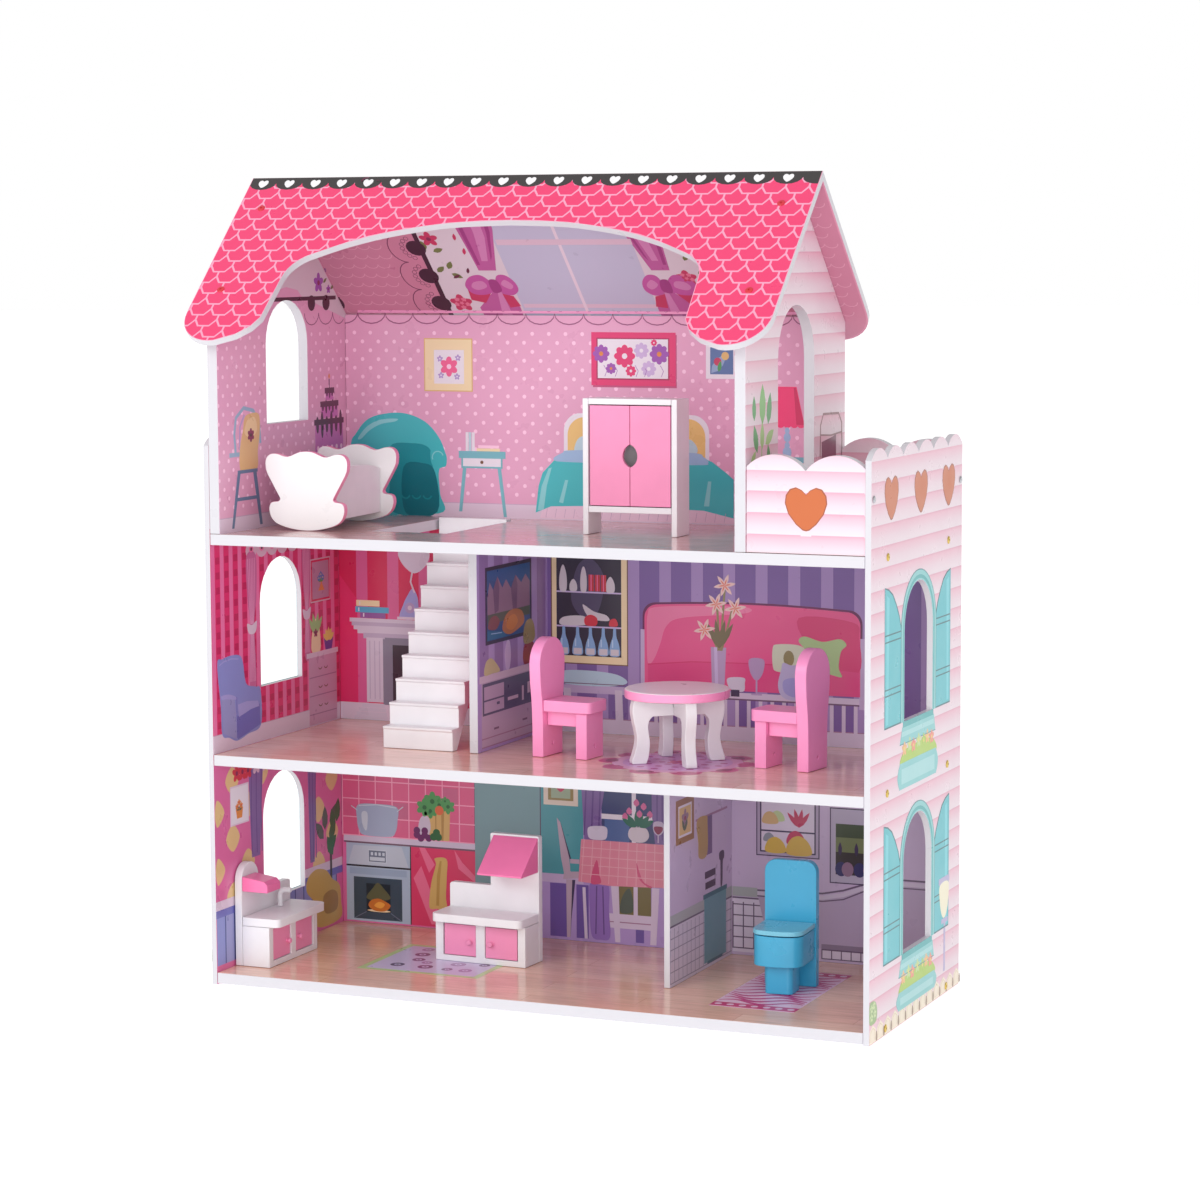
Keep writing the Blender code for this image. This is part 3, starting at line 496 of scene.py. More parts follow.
    def paper(self, layer, name, u0, v0, u1, v1):
        """Wallpaper over a rectangle, cut around the window."""
        if not self.window:
            return self.rect(layer, name, u0, v0, u1, v1)
        middle, half, sill, top = self.window
        left, right = middle - half, middle + half
        a, b = max(u0, left), min(u1, right)
        if a >= b or v1 <= sill or v0 >= top:
            return self.rect(layer, name, u0, v0, u1, v1)
        if u0 < left:
            self.rect(layer, name, u0, v0, left, v1)
        if u1 > right:
            self.rect(layer, name, right, v0, u1, v1)
        if v0 < sill:
            self.rect(layer, name, a, v0, b, sill)
        steps = max(2, round((b - a) / 3))
        edge = [(a + (b - a) * i / steps, self.head(a + (b - a) * i / steps)) for i in range(steps + 1)]
        low = max(v0, 0)
        edge = [(u, max(v, low)) for u, v in edge]
        if v1 > max(v for _, v in edge) + 0.05:
            self.shape(layer, name, [(b, v1), (a, v1)] + edge)
        return None

    def free(self, u, v, margin):
        """True where a small shape doesn't touch the window."""
        if not self.window:
            return True
        middle, half, sill, _ = self.window
        if abs(u - middle) > half + margin or v < sill - margin:
            return True
        return v > self.head(min(max(u, middle - half), middle + half)) + margin * 1.6

    def done(self):
        mesh = bpy.data.meshes.new(self.name)
        mesh.from_pydata(self.points, [], self.faces)
        for name in self.inks:
            mesh.materials.append(ink(name))
        mesh.polygons.foreach_set("material_index", self.face_inks)
        obj = bpy.data.objects.new(self.name, mesh)
        bpy.context.scene.collection.objects.link(obj)
        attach(obj, "house")
        return obj


# ---------------------------------------------------------------- repeated patterns

def dots(sheet, layer, name, box, start, pitch, row, radius, inside=None):
    """Rows of dots, every second row shifted by half a pitch."""
    u0, v0, u1, v1 = box
    k = math.ceil((v0 - start[1]) / row)
    while start[1] + k * row < v1:
        v = start[1] + k * row
        first = start[0] + (pitch / 2 if k % 2 else 0)
        u = first + pitch * math.ceil((u0 - first) / pitch)
        while u < u1:
            if sheet.free(u, v, radius) and (inside is None or inside(u, v)):
                sheet.disc(layer, name, u, v, radius, steps=8)
            u += pitch
        k += 1


def stripes(sheet, layer, name, box, first, pitch, width):
    """Upright stripes; first is the middle of one of them."""
    u0, v0, u1, v1 = box
    k = math.ceil((u0 - width / 2 - first) / pitch)
    while first + k * pitch - width / 2 < u1:
        a = max(u0, first + k * pitch - width / 2)
        b = min(u1, first + k * pitch + width / 2)
        if b - a > 0.2:
            sheet.paper(layer, name, a, v0, b, v1)
        k += 1


def scallops(sheet, layer, name, width, first, pitch, count, cusp, dip):
    """A drawn line of hanging half rounds."""
    path = []
    for i in range(count):
        path += arc(first + pitch * (i + 0.5), cusp, pitch / 2, 180, 360, 8, dip)[:-1]
    sheet.line(layer, name, width, path + [(first + pitch * count, cusp)])


def grid(sheet, layer, name, box, pitch, width):
    """Tile joints over a rectangle."""
    u0, v0, u1, v1 = box
    for i in range(int((v1 - v0) / pitch) + 1):
        sheet.rect(layer, name, u0, v0 + i * pitch, u1, v0 + i * pitch + width)
    for i in range(int((u1 - u0) / pitch) + 1):
        sheet.rect(layer + 0.5, name, u0 + i * pitch, v0, u0 + i * pitch + width, v1)


def bouquet(sheet, layer, u, v, size, petal, middle, leaf="green"):
    """Three flowers with leaves above a point."""
    for turn in (25, 60, 120, 155):
        sheet.leaf(layer, leaf, u, v, size * 0.9, turn)
    for across, up in ((-0.45, 0.45), (0.45, 0.5), (0, 0.85)):
        sheet.flower(layer + 1, petal, middle, u + across * size, v + up * size, size * 0.38)


# ---------------------------------------------------------------- roof

COS, SIN = math.cos(math.radians(44)), math.sin(math.radians(44))
RUN = 0.200
RIDGE = 0.698
ROOF_X0 = -0.30805
ROOF_MIDDLE = 265.7
ROOF_BOARD = 0.006


def mirrored(points):
    """The points and their mirror images left of zero, in order round the outline."""
    return points + [(-u, v) for u, v in reversed(points) if u > 0.01]


def front_roof_outline():
    """Ridge, two round lobes and the wide arch, a little inside the board's edges."""
    half = [(0, 199.4), (265.2, 199.4)] + arc(233, 33, 32.3, 0, -100, 12)
    half += [(209.4, 8.6), (198.9, 17.6), (193.2, 28.5)] + arc(157.5, 74, 33.6, 0, 65, 6)
    half += [(143.4, 118.6), (125, 126.2), (105, 131.7), (80, 137.2), (55, 141.4), (25, 143.9), (0, 144.4)]
    return [(ROOF_MIDDLE + u, v) for u, v in mirrored(half)]


def rear_roof_outline():
    """The rear board with both lower corners rounded."""
    half = [(0, 199.4), (265.2, 199.4)] + arc(232.7, 33, 32.5, 0, -90, 8) + [(0, 0.5)]
    return [(ROOF_MIDDLE + u, v) for u, v in mirrored(half)]


def cut_to(obj, sheet, outline):
    """Keep the part of a print that lies inside an outline."""
    cutter = Print("cutter", sheet.corner, sheet.right, sheet.up)
    cutter.points = [sheet.corner + (sheet.right * u + sheet.up * v) * MM + sheet.out * height
                     for height in (-MM, MM) for u, v in outline]
    count = len(outline)
    low = list(range(count))[::-1]
    high = [count + i for i in range(count)]
    sides = [(i, (i + 1) % count, count + (i + 1) % count, count + i) for i in range(count)]
    mesh = bpy.data.meshes.new("cutter")
    mesh.from_pydata(cutter.points, [], [tuple(low), tuple(high)] + sides)
    block = bpy.data.objects.new("cutter", mesh)
    bpy.context.scene.collection.objects.link(block)
    cut = obj.modifiers.new("cut", "BOOLEAN")
    cut.operation = "INTERSECT"
    cut.solver = "EXACT"
    cut.object = block
    bpy.context.view_layer.update()
    whole = obj.evaluated_get(bpy.context.evaluated_depsgraph_get())
    kept = bpy.data.meshes.new_from_object(whole)
    obj.modifiers.remove(cut)
    obj.data = kept
    bpy.data.objects.remove(block)


def shingles(name, corner, right, up, outline):
    """Crown-shaped shingles in staggered rows, cut to the board's outline."""
    sheet = Print(name, corner, right, up, slot="roof_board")
    crown = [(-5, 0.9), (5, 0.9), (9.35, 7.6), (9.35, 12.1), (4.5, 12.1), (0, 18.6), (-4.5, 12.1),
             (-9.35, 12.1), (-9.35, 7.6)]
    low = 121.6 - 13.0 * 10
    for row in range(16):
        v = low + 13.0 * row
        shift = 1.5 if row % 2 == 0 else 11.75
        for k in range(-1, 27):
            u = shift + 20.5 * k
            points = [(u + a, min(v + b, 197.0)) for a, b in crown]
            if v < 190:
                sheet.shape(1, "scale", points)
    obj = sheet.done()
    cut_to(obj, sheet, outline)


def ridge_lace(name, corner, right, up):
    """Black scalloped band along the ridge with a white heart in each scallop."""
    sheet = Print(name, corner, right, up, slot="roof_board")
    bottom = []
    for k in range(-1, 21):
        bottom += arc(0.1 + 25.8 * (k + 0.5), 192.7, 12.9, 180, 360, 8, 8.3)[:-1]
    bottom = [(u, v) for u, v in bottom if 0.5 < u < 530.9]
    bottom = [(0.5, bottom[0][1])] + bottom + [(530.9, bottom[-1][1])]
    sheet.shape(3, "black", bottom + [(530.9, 199.4), (0.5, 199.4)])
    for k in range(20):
        sheet.heart(5, "white", 13 + 25.8 * k, 191.9, 9.4)
    sheet.done()


def roof_underside():
    """Inner face of the rear board: curtains, a window and lace, all printed."""
    corner = (ROOF_X0, RUN * COS - ROOF_BOARD * SIN, RIDGE - RUN * SIN - ROOF_BOARD * COS)
    sheet = Print("rear_roof_underside_print", corner, X, (0, -COS, SIN), slot="roof_board")
    top = 193.0
    corner = [(u - 0.7, v + 0.5) for u, v in arc(498.4, 33, 32, -90, 0, 8)]
    far_left = [(531.4 - u, v) for u, v in corner[::-1]]
    sheet.shape(0, "dusk", far_left + [(133.6, 1.5), (133.6, top), (1.5, top)])
    sheet.rect(0, "under_white", 133.6, 1.5, 398, top)
    sheet.shape(0, "dusk", [(398, 1.5)] + corner + [(529.9, top), (398, top)])
    for u0, u1 in ((32, 104), (400, 528)):
        for row in range(13):
            step = 6 if row % 2 else 0
            scallops(sheet, 1, "dusk_line", 0.7, u0 + step, 12, int((u1 - u0 - step) / 12),
                     36 + row * 12, 5)
    under_left(sheet)
    under_curtain(sheet, 198, 1)
    under_curtain(sheet, 350, -1)
    under_window(sheet)
    sheet.rect(0.5, "under_white", 3, 46, 28, top)
    sheet.flower(2, "mauve", "wine", 10.5, 78, 8)
    for u, v, turn in ((26, 61, 70), (24, 66, 100), (27, 84, 60)):
        sheet.leaf(2, "mauve", u, v, 9, turn)
    sheet.rect(2, "under_black", 3, 48, 31, 53)
    for u in (6, 17, 28):
        sheet.disc(2, "under_black", u, 45, 4.5, 8)
    sheet.done()


def under_left(sheet):
    """Lace and roses beside the black band."""
    sheet.rect(4, "under_black", 133.6, 3, 138.3, 193)
    for v in (45.6, 81, 116.5, 152, 187):
        sheet.disc(3, "under_black", 131.5, v, 9.5)
        path = arc(118, v, 13.5, 90, 270, 10, 17.8)
        sheet.line(2, "under_lace", 0.9, path)
        for turn in range(115, 250, 22):
            angle = math.radians(turn)
            ring = arc(131.5 + 13.5 * math.cos(angle), v + 13.5 * math.sin(angle), 2.2, 0, 360, 8)[:-1]
            sheet.line(2, "under_lace", 0.5, ring, True)
    for u, v, turn in ((142, 86, 40), (154, 90, 60), (147, 112, 20), (155, 84, -30), (141, 115, 100)):
        sheet.leaf(3, "olive", u, v, 11, turn, 0.5)
    sheet.leaf(3, "maroon", 155, 78, 9, 30)
    sheet.leaf(3, "maroon", 171, 84, 8, 70)
    sheet.flower(3, "rose_dark", "wine", 148, 128, 9)
    rose(sheet, 3, 152, 46, 11)
    rose(sheet, 3, 378, 78, 10)
    rose(sheet, 3, 389, 60, 9)
    for u, v, turn in ((382, 100, 60), (390, 84, 20), (386, 46, -40)):
        sheet.leaf(3, "olive", u, v, 10, turn, 0.5)
    sheet.leaf(3, "rose_dark", 176, 108, 9, 75)
    sheet.leaf(3, "rose_dark", 173, 126, 9, 80)


def rose(sheet, layer, u, v, radius):
    """A full rose from shrinking rings of petals."""
    for ring, (part, name) in enumerate(((1.0, "rose_dark"), (0.72, "rose_light"), (0.45, "rose_dark"),
                                         (0.2, "rose_light"))):
        sheet.flower(layer + ring, name, name, u, v, radius * part, 5, 90 + 36 * ring)


def under_curtain(sheet, middle, side):
    """Draped curtain tied with a bow; side 1 leans to the left window edge."""
    def at(*points):
        return [(middle + side * (u - 198), v) for u, v in points]
    sheet.shape(2, "drape", at((178, 193), (218, 193), (214, 140), (208, 118), (200, 88), (183, 88),
                               (181, 118), (178, 150)))
    sheet.shape(3, "drape_light", at((194, 193), (206, 193), (203, 130), (196, 100), (190, 100),
                                     (194, 135)))
    sheet.shape(3, "drape_dark", at((180, 193), (184, 193), (186, 130), (187, 95), (184, 95), (182, 130)))
    sheet.shape(3, "drape_dark", at((212, 193), (216, 193), (210, 136), (202, 106), (199, 100), (206, 134)))
    sheet.shape(2, "drape", at((189, 62), (201, 62), (208, 40), (206, 10), (170, 10), (168, 40)))
    sheet.shape(3, "drape_light", at((192, 60), (196, 60), (198, 10), (184, 10)))
    sheet.shape(3, "rose_dark", at((186, 60), (178, 58), (164, 66), (163, 50), (176, 46)))
    sheet.shape(3, "rose_dark", at((196, 58), (206, 55), (209, 42), (198, 40)))
    sheet.blob(4, "drape_bow", *at((190, 72), (182, 82), (170, 79), (163, 68), (168, 58), (180, 57),
                                   (189, 62)))
    sheet.blob(4, "drape_bow", *at((194, 64), (204, 56), (213, 62), (213, 73), (206, 82), (197, 80)))
    sheet.blob(5, "drape_light", *at((182, 74), (173, 73), (169, 67), (174, 63), (184, 67)))
    sheet.blob(5, "drape_light", *at((199, 70), (206, 64), (210, 69), (204, 76)))
    sheet.blob(5, "drape_dark", *at((188, 75), (196, 75), (197, 62), (188, 60)))


def under_window(sheet):
    """Pale panes between pinkish bars."""
    sheet.rect(1, "pane", 210, 20, 340, 193)
    for v0, v1 in ((160, 166), (120, 127), (81, 86), (40, 45)):
        sheet.rect(1.6, "pane_bar", 212, v0, 340, v1)
    sheet.rect(1.3, "pane_bar", 264, 20, 280, 193)
    sheet.rect(1.8, "pane_bar_light", 270, 20, 273, 193)


def roof_prints():
    """Shingles and ridge bands on both roof boards, and the underside print."""
    down = (ROOF_X0, -RUN * COS, RIDGE - RUN * SIN)
    shingles("front_roof_shingles", down, X, (0, COS, SIN), front_roof_outline())
    ridge_lace("front_ridge_band", down, X, (0, COS, SIN))
    far = (ROOF_X0 + 2 * ROOF_MIDDLE * MM, RUN * COS, RIDGE - RUN * SIN)
    shingles("rear_roof_shingles", far, -X, (0, -COS, SIN), rear_roof_outline())
    ridge_lace("rear_ridge_band", far, -X, (0, -COS, SIN))
    roof_underside()


# ---------------------------------------------------------------- attic

def attic_pattern(sheet, width, top, inside=None):
    """Dotted paper, a lace border below the slope and a pale skirting."""
    dots(sheet, 0.5, "attic_dot", (1, 15, width - 1, top), (155.2, 166.1), 16.2, 8.03, 1.9, inside)
    sheet.paper(1, "skirting", 0, 0, width, 12.5)
    sheet.paper(1.5, "skirting_line", 0, 12.5, width, 13.1)


def attic_lace(sheet, first, count, top):
    """Scalloped lace band along the top of the wallpaper."""
    scallops(sheet, 1, "lace", 1.0, first, 28.1, count, 184, 9.5)
    for k in range(count):
        middle = first + 28.1 * (k + 0.5)
        sheet.rect(0.8, "attic_lace_ground", middle - 14.05, 184.2, middle + 14.05, top)
        for turn in (20, 55, 90, 125, 160):
            angle = math.radians(turn)
            ring = arc(middle + 9.0 * math.cos(angle), 186 + 5.0 * math.sin(angle), 2.0, 0, 360, 7)[:-1]
            sheet.line(1.4, "lace_soft", 0.45, ring, True)


def armchair(sheet):
    """Round teal armchair by the left wall."""
    sheet.blob(3, "teal", (4, 60), (10, 74), (22, 87), (40, 92.5), (60, 93), (80, 86), (94, 72),
               (101, 56), (101, 46), (94, 42), (95, 20), (98, 4), (60, 1), (4, 1))
    sheet.blob(4, "teal_light", (12, 70), (22, 81), (36, 87), (52, 88), (50, 85.5), (36, 83), (24, 77),
               (15, 69))
    sheet.blob(4, "teal_dark", (44, 62), (66, 66), (84, 62), (88, 44), (90, 3), (46, 3), (44, 30))
    sheet.blob(5, "teal_deep", (58, 44), (78, 48), (90, 40), (92, 4), (60, 2))
    sheet.blob(5, "teal", (86, 60), (92, 63), (99, 60), (102, 52), (98, 45), (90, 44), (86, 50))
    sheet.line(6, "teal_light", 1.0, arc(93, 53.5, 5.6, 200, 20, 9))
    for u in (56, 67, 78):
        sheet.line(6, "teal_dark", 1.4, arc(u + 4, 20, 4.5, 200, 340, 8))


def side_table(sheet):
    """Small teal table with books on it."""
    sheet.rect(3, "teal_soft", 114, 53.5, 160.5, 60)
    sheet.rect(3, "paper", 116.5, 45.5, 157.5, 53.5)
    sheet.rect(4, "teal_soft", 116.5, 44.5, 157.5, 46.2)
    sheet.rect(4, "teal_soft", 116.5, 46, 118.2, 53.5)
    sheet.rect(4, "teal_soft", 155.8, 46, 157.5, 53.5)
    sheet.disc(5, "brown", 137, 50, 1.6)
    sheet.shape(3, "teal_soft", [(118, 45), (121.5, 45), (117, 5), (113.8, 5)])
    sheet.shape(3, "teal_soft", [(152.5, 45), (156, 45), (161.5, 1), (158.4, 1)])
    for u, name in ((121, "paper"), (124, "teal_pale"), (127.3, "paper")):
        sheet.rect(3, name, u, 60, u + 2.7, 77)
    sheet.rect(3, "cream", 132, 60, 155, 62.6)
    sheet.rect(3, "attic_dot", 133.5, 62.8, 154, 65.4)


def attic_pictures(sheet):
    """Three framed pictures with flowers."""
    sheet.framed(3, "gold", "gold_dark", 80, 113.5, 128.5, 161.5, 1.0)
    sheet.rect(5, "cream", 81, 114.5, 127.5, 160.5)
    sheet.rect(6, "paper", 90, 120.5, 120, 151)
    sheet.flower(7, "pink", "attic_dot", 105, 136, 9, 6)
    for u, v in ((96, 143), (114, 144), (97, 128), (113, 127)):
        sheet.flower(7, "lilac", "paper", u, v, 3, 5)
    sheet.rect(2.5, "rose_shadow", 246.5, 119.3, 326.5, 166)
    sheet.rect(3, "frame_pink", 245, 121, 325.5, 168)
    sheet.rect(4, "frame_pink_dark", 250, 126.2, 319.5, 163)
    sheet.rect(5, "paper", 251.2, 127.4, 318.3, 162)
    for u, v, size, petal in ((254.5, 149, 8, "lilac_deep"), (277, 147, 10, "frame_pink"),
                              (310, 149, 9, "lilac_deep"), (293, 152, 7, "lilac_pale"),
                              (283, 134, 5, "frame_pink"), (300, 136, 7, "lilac_pale"),
                              (264, 136, 5, "lilac_deep"), (305, 159, 3, "frame_pink")):
        sheet.flower(6, petal, "orange" if petal == "lilac_deep" else "paper", u, v, size, 8)
    for u in (258, 268, 288, 296, 312):
        sheet.line(6, "lilac_deep", 0.5, [(u, 129), (u + 2, 134), (u - 1, 139)])
    sheet.rect(3, "paper", 354, 128, 381, 159)
    sheet.rect(4, "denim", 358, 132, 379.5, 155.5)
    sheet.leaf(5, "denim_light", 359, 133, 22, 50)
    sheet.disc(5, "gold", 372, 148, 3.6)
    sheet.disc(5, "rose_dark", 365, 143, 3.6)
    sheet.leaf(6, "green", 366, 134, 10, 80)


def bed(sheet):
    """Bed with a yellow headboard, teal cover and a ruffled skirt."""
    for layer, name, gap in ((3, "paper", 0), (4, "cream_deep", 3.6)):
        low, high = 218 + gap, 357 - gap
        crest = [(u, 96 - gap + 3 * math.sin(math.pi * (u - 238) / 100)) for u in range(338, 237, -10)]
        sheet.shape(layer, name, [(low, 55), (high, 55)] + arc(high - 16, 80 - gap, 16, 0, 80, 8)
                    + crest + arc(low + 16, 80 - gap, 16, 100, 180, 8))
    sheet.blob(5, "teal_pale", (229, 60), (231, 72), (240, 76), (262, 75), (266, 62), (246, 58))
    sheet.blob(5, "teal_pale", (302, 60), (305, 72), (318, 76), (340, 74), (345, 62), (320, 58))
    sheet.shape(5.5, "teal", [(190, 6), (193, 30), (197, 42), (210, 55), (222, 61), (345, 61),
                              (360, 55), (374, 45), (380, 40), (380, 6), (352, 12), (320, 13),
                              (232, 13), (205, 12)])
    sheet.blob(6, "sky_soft", (208, 54), (216, 60), (232, 63), (336, 63), (352, 59), (356, 54),
               (342, 52), (228, 52))
    sheet.shape(6, "teal_light", [(192, 8), (196, 30), (203, 46), (206, 47), (201, 30), (198, 9)])
    sheet.shape(6, "teal_light", [(213, 16), (219, 36), (222, 36), (217, 15)])
    sheet.shape(6, "teal_light", [(352, 16), (356, 38), (359, 38), (357, 16)])
    sheet.shape(5, "skirt", [(194, 1), (196, 8), (206, 12), (232, 13.5), (320, 13.5), (352, 12.5),
                             (381, 9), (381, 1)])
    for u in range(200, 380, 9):
        sheet.line(6, "skirting_line", 0.5, [(u, 2), (u + 1.5, 10)])


def attic_lamp(sheet):
    """Hot pink lamp on a small teal table, seen through the doorway."""
    sheet.shape(3, "lamp_pink", [(420.5, 88.5), (445.5, 88.5), (438, 122), (421, 122)])
    for u in (423.5, 429.7, 436, 442.3):
        sheet.disc(3, "lamp_pink", u, 88.6, 3.3, 2.4)
    sheet.shape(4, "lamp_dark", [(438, 89), (445, 89), (437.6, 121), (435.5, 121)])
    for u, v, radius in ((429.5, 84, 2.2), (429.5, 78, 3.2), (429.5, 71, 2.4), (429.5, 65, 4.0)):
        sheet.disc(3, "sky_soft", u, v, radius, radius * 1.3)
    sheet.rect(3, "teal_soft", 398, 56, 446, 61)
    sheet.shape(3, "teal_soft", [(401, 56), (405, 56), (402, 3), (398, 3)])
    sheet.shape(3, "teal_soft", [(440, 56), (444, 56), (447, 3), (443, 3)])


def attic_back():
    """Back wall of the attic room."""
    sheet = Print("attic_back_print", (-0.27805, BACK, ATTIC), X, Z)
    attic_pattern(sheet, 469.6, 174)
    attic_lace(sheet, -15.2 + 28.1, 16, 191.5)
    sheet.line(1, "lace", 1.0, arc(-1.1, 184, 14, 270, 360, 5, 9.5))
    armchair(sheet)
    side_table(sheet)
    attic_pictures(sheet)
    bed(sheet)
    attic_lamp(sheet)
    sheet.done()


GABLE_TOP, GABLE_MIDDLE, GABLE_SLOPE = 296.3, 122.5, 0.9657     # of both attic walls


def gable(u):
    """Height of the gable under the roof at u."""
    return GABLE_TOP - GABLE_SLOPE * abs(GABLE_MIDDLE - u)


def high_chair(sheet):
    """Child's high chair in pale blue with a yellow cushion."""
    sheet.shape(3, "slate_blue", [(33, 51), (38, 51), (25.5, 3), (21.5, 3)])
    sheet.shape(3, "slate_blue", [(60, 51), (66, 51), (76, 3), (71.5, 3)])
    sheet.rect(2.5, "slate_blue", 31, 26, 67, 29)
    sheet.line(3, "blue_soft", 3.4, [(30, 66), (28, 84), (31, 98), (45, 106), (62, 103), (72, 93),
                                     (74, 74)])
    sheet.line(3, "lilac_soft", 2.2, [(37, 70), (38, 90), (46, 100)])
    sheet.rect(3, "blue_soft", 19, 64.5, 40, 68.2)
    sheet.blob(4, "cushion", (38, 52), (37, 70), (43, 86), (47, 98), (60, 101), (72, 99), (73, 84),
               (69, 68), (68, 53), (52, 50))
    sheet.blob(5, "cushion_light", (46, 84), (51, 95), (64, 97), (68, 86), (58, 80))
    sheet.flower(6, "wine", "dark_brown", 57, 82, 6, 6)
    sheet.rect(5, "slate_blue", 33, 49.5, 68, 52.5)


def cake_stand(sheet):
    """Tiered cake on a stand with dark icing."""
    for u0, u1, v0, v1, count in ((176, 230, 60, 89, 6), (188, 220, 90, 105, 5), (197, 212, 106, 117, 3)):
        sheet.rect(3, "cake", u0, v0, u1, v1)
        sheet.rect(4, "cake_dark", u0 - 1.5, v1 - 5, u1 + 1.5, v1)
        step = (u1 - u0) / count
        for k in range(count):
            drop = (v1 - v0) * (0.42 if k % 2 else 0.26)
            sheet.disc(4, "cake_dark", u0 + step * (k + 0.5), v1 - 5, step * 0.30, drop)
    sheet.rect(3, "cake_dark", 203.4, 117, 204.8, 125)
    sheet.leaf(4, "orange", 204.1, 125, 5, 90, 0.6)
    for k in range(6):
        sheet.disc(5, "attic_dot", 181 + 9 * k, 63, 2.2)
    sheet.rect(3, "lilac_deep", 172, 56, 234, 60)
    sheet.rect(3, "lilac_deep", 200, 20, 206, 56)
    sheet.blob(3, "lilac_deep", (186, 14), (203, 22), (220, 14), (203, 12))


def attic_side_pattern(sheet):
    """Dots, a dark fringe and the sloping part's flowers on a gable wall's inner face."""
    attic_pattern(sheet, 236, 172)
    for u in (40, 68, 172, 200):
        sheet.disc(3, "under_black", u, 194, 7, 7)
    for u in (34, 61, 172, 199):
        sheet.line(2, "lace", 0.9, arc(u, 185, 13.5, 180, 360, 8, 10.5))
    sheet.line(2, "lace", 0.9, arc(224.5, 185, 12, 180, 320, 8, 10.5))
    sheet.paper(2.5, "under_black", 26, 196.5, 219, 200)
    for u, v, size in ((64, 214, 8), (186, 212, 9), (150, 238, 8), (122, 262, 9), (96, 240, 7),
                       (205, 206, 4)):
        if v + size < gable(u):
            sheet.flower(3, "lilac_deep", "wine", u, v, size)
            sheet.leaf(3, "olive", u + size, v, 8, 30)


def attic_left():
    """Left gable wall of the attic room."""
    sheet = Print("attic_left_print", (-0.27835, FRONT, ATTIC), Y, Z, (125, 38.25, 90, 197.5))
    attic_side_pattern(sheet)
    slope = [(0, 200.2), (96, 200.2), (104, 206), (125, 209), (146, 206), (154, 200.2), (245, 200.2),
             (122.5, 294)]
    slope = [(u, min(v, gable(u) - 1.0)) for u, v in slope]
    sheet.shape(0.3, "under_white", slope)
    high_chair(sheet)
    cake_stand(sheet)
    sheet.done()


# ---------------------------------------------------------------- middle storey

MIDDLE_WINDOW = (125, 38.25, 48.6, 161.1)
GROUND_WINDOW = (125, 38.25, 47.0, 159.5)
STOREY = 181.8


def pink_stripes(sheet, width):
    """Hot pink paper: light stripes with rows of darker squares between them."""
    stripes(sheet, 0.5, "stripe_pink", (0.5, 16, width, STOREY - 0.5), 4, 15.7, 6.6)
    for k in range(int(width / 15.7) + 1):
        for row in range(13):
            u, v = 12.2 + 15.7 * k, 24 + 13 * row
            if 4 < u < width - 4 and sheet.free(u, v, 5) and v < STOREY - 4:
                sheet.rect(0.5, "hot_dark", u - 3.4, v - 3, u + 3.4, v + 3)
    sheet.paper(1, "skirting", 0, 0, width, 15.5)
    sheet.paper(1.5, "skirting_line", 0, 15.5, width, 16.1)


def lace_curtain(sheet, u0, u1, low, high, tie):
    """Gathered lace hanging in folds with a tie."""
    middle = (u0 + u1) / 2
    half = (u1 - u0) / 2
    sheet.blob(2, "voile", (u0, high), (u0 + 1, tie + 26), (middle - 3, tie + 4), (u0 + 3, low),
               (u1 - 2, low), (middle + 4, tie + 4), (u1, tie + 26), (u1, high))
    for k in range(5):
        u = u0 + 2 + k * (u1 - u0 - 4) / 4
        sheet.line(3, "voile_light", 0.7, [(u, high - 2), (u * 0.6 + middle * 0.4, tie + 20),
                                           (middle + (u - middle) * 0.35, tie + 4)])
        sheet.line(3, "voile_light", 0.7, [(middle + (u - middle) * 0.35, tie - 4),
                                           (u * 0.7 + middle * 0.3, low + 3)])
    sheet.blob(4, "skirting", (middle - half, tie + 5), (middle, tie + 3), (middle + half, tie + 6),
               (middle + half - 2, tie - 3), (middle, tie - 5), (middle - half + 2, tie - 3))


def dresser(sheet):
    """Chest of drawers."""
    sheet.rect(3, "furniture_mauve", 176, 1, 230, 63)
    sheet.rect(4, "skirting", 172, 63, 233, 67.5)
    for v in (10, 27, 44):
        sheet.rect(4, "mauve_line", 177, v, 229, v + 1)
        for u in (198, 209):
            sheet.line(4, "brown", 1.0, arc(u, v + 9.5, 3.6, 200, 340, 5, 2.6))


def mid_armchair(sheet):
    """Periwinkle wing chair."""
    sheet.blob(3, "peri", (9, 78), (18, 81), (32, 82.5), (48, 81), (54, 74), (57, 60), (62, 53),
               (76, 50), (85, 46), (85, 15), (62, 10), (42, 6.5), (28, 11), (16, 15), (14, 40))
    sheet.shape(4, "peri_dark", [(42, 28), (52, 28), (83, 34), (84, 15.5), (43, 7.5)])
    sheet.shape(4, "peri_light", [(44, 38), (60, 39), (80, 37), (82, 32), (66, 31), (46, 27)])
    sheet.shape(4, "peri_soft", [(15, 46), (38, 44), (41, 28), (41, 8), (18, 16)])
    sheet.blob(5, "peri_light", (15, 49), (28, 49), (40, 45.5), (40, 43), (26, 45), (16, 46))
    sheet.line(5, "peri_dark", 1.2, [(42, 45), (42, 9)])
    sheet.line(4, "peri_light", 1.0, [(12, 76), (20, 78.5), (34, 79.5), (46, 78)])


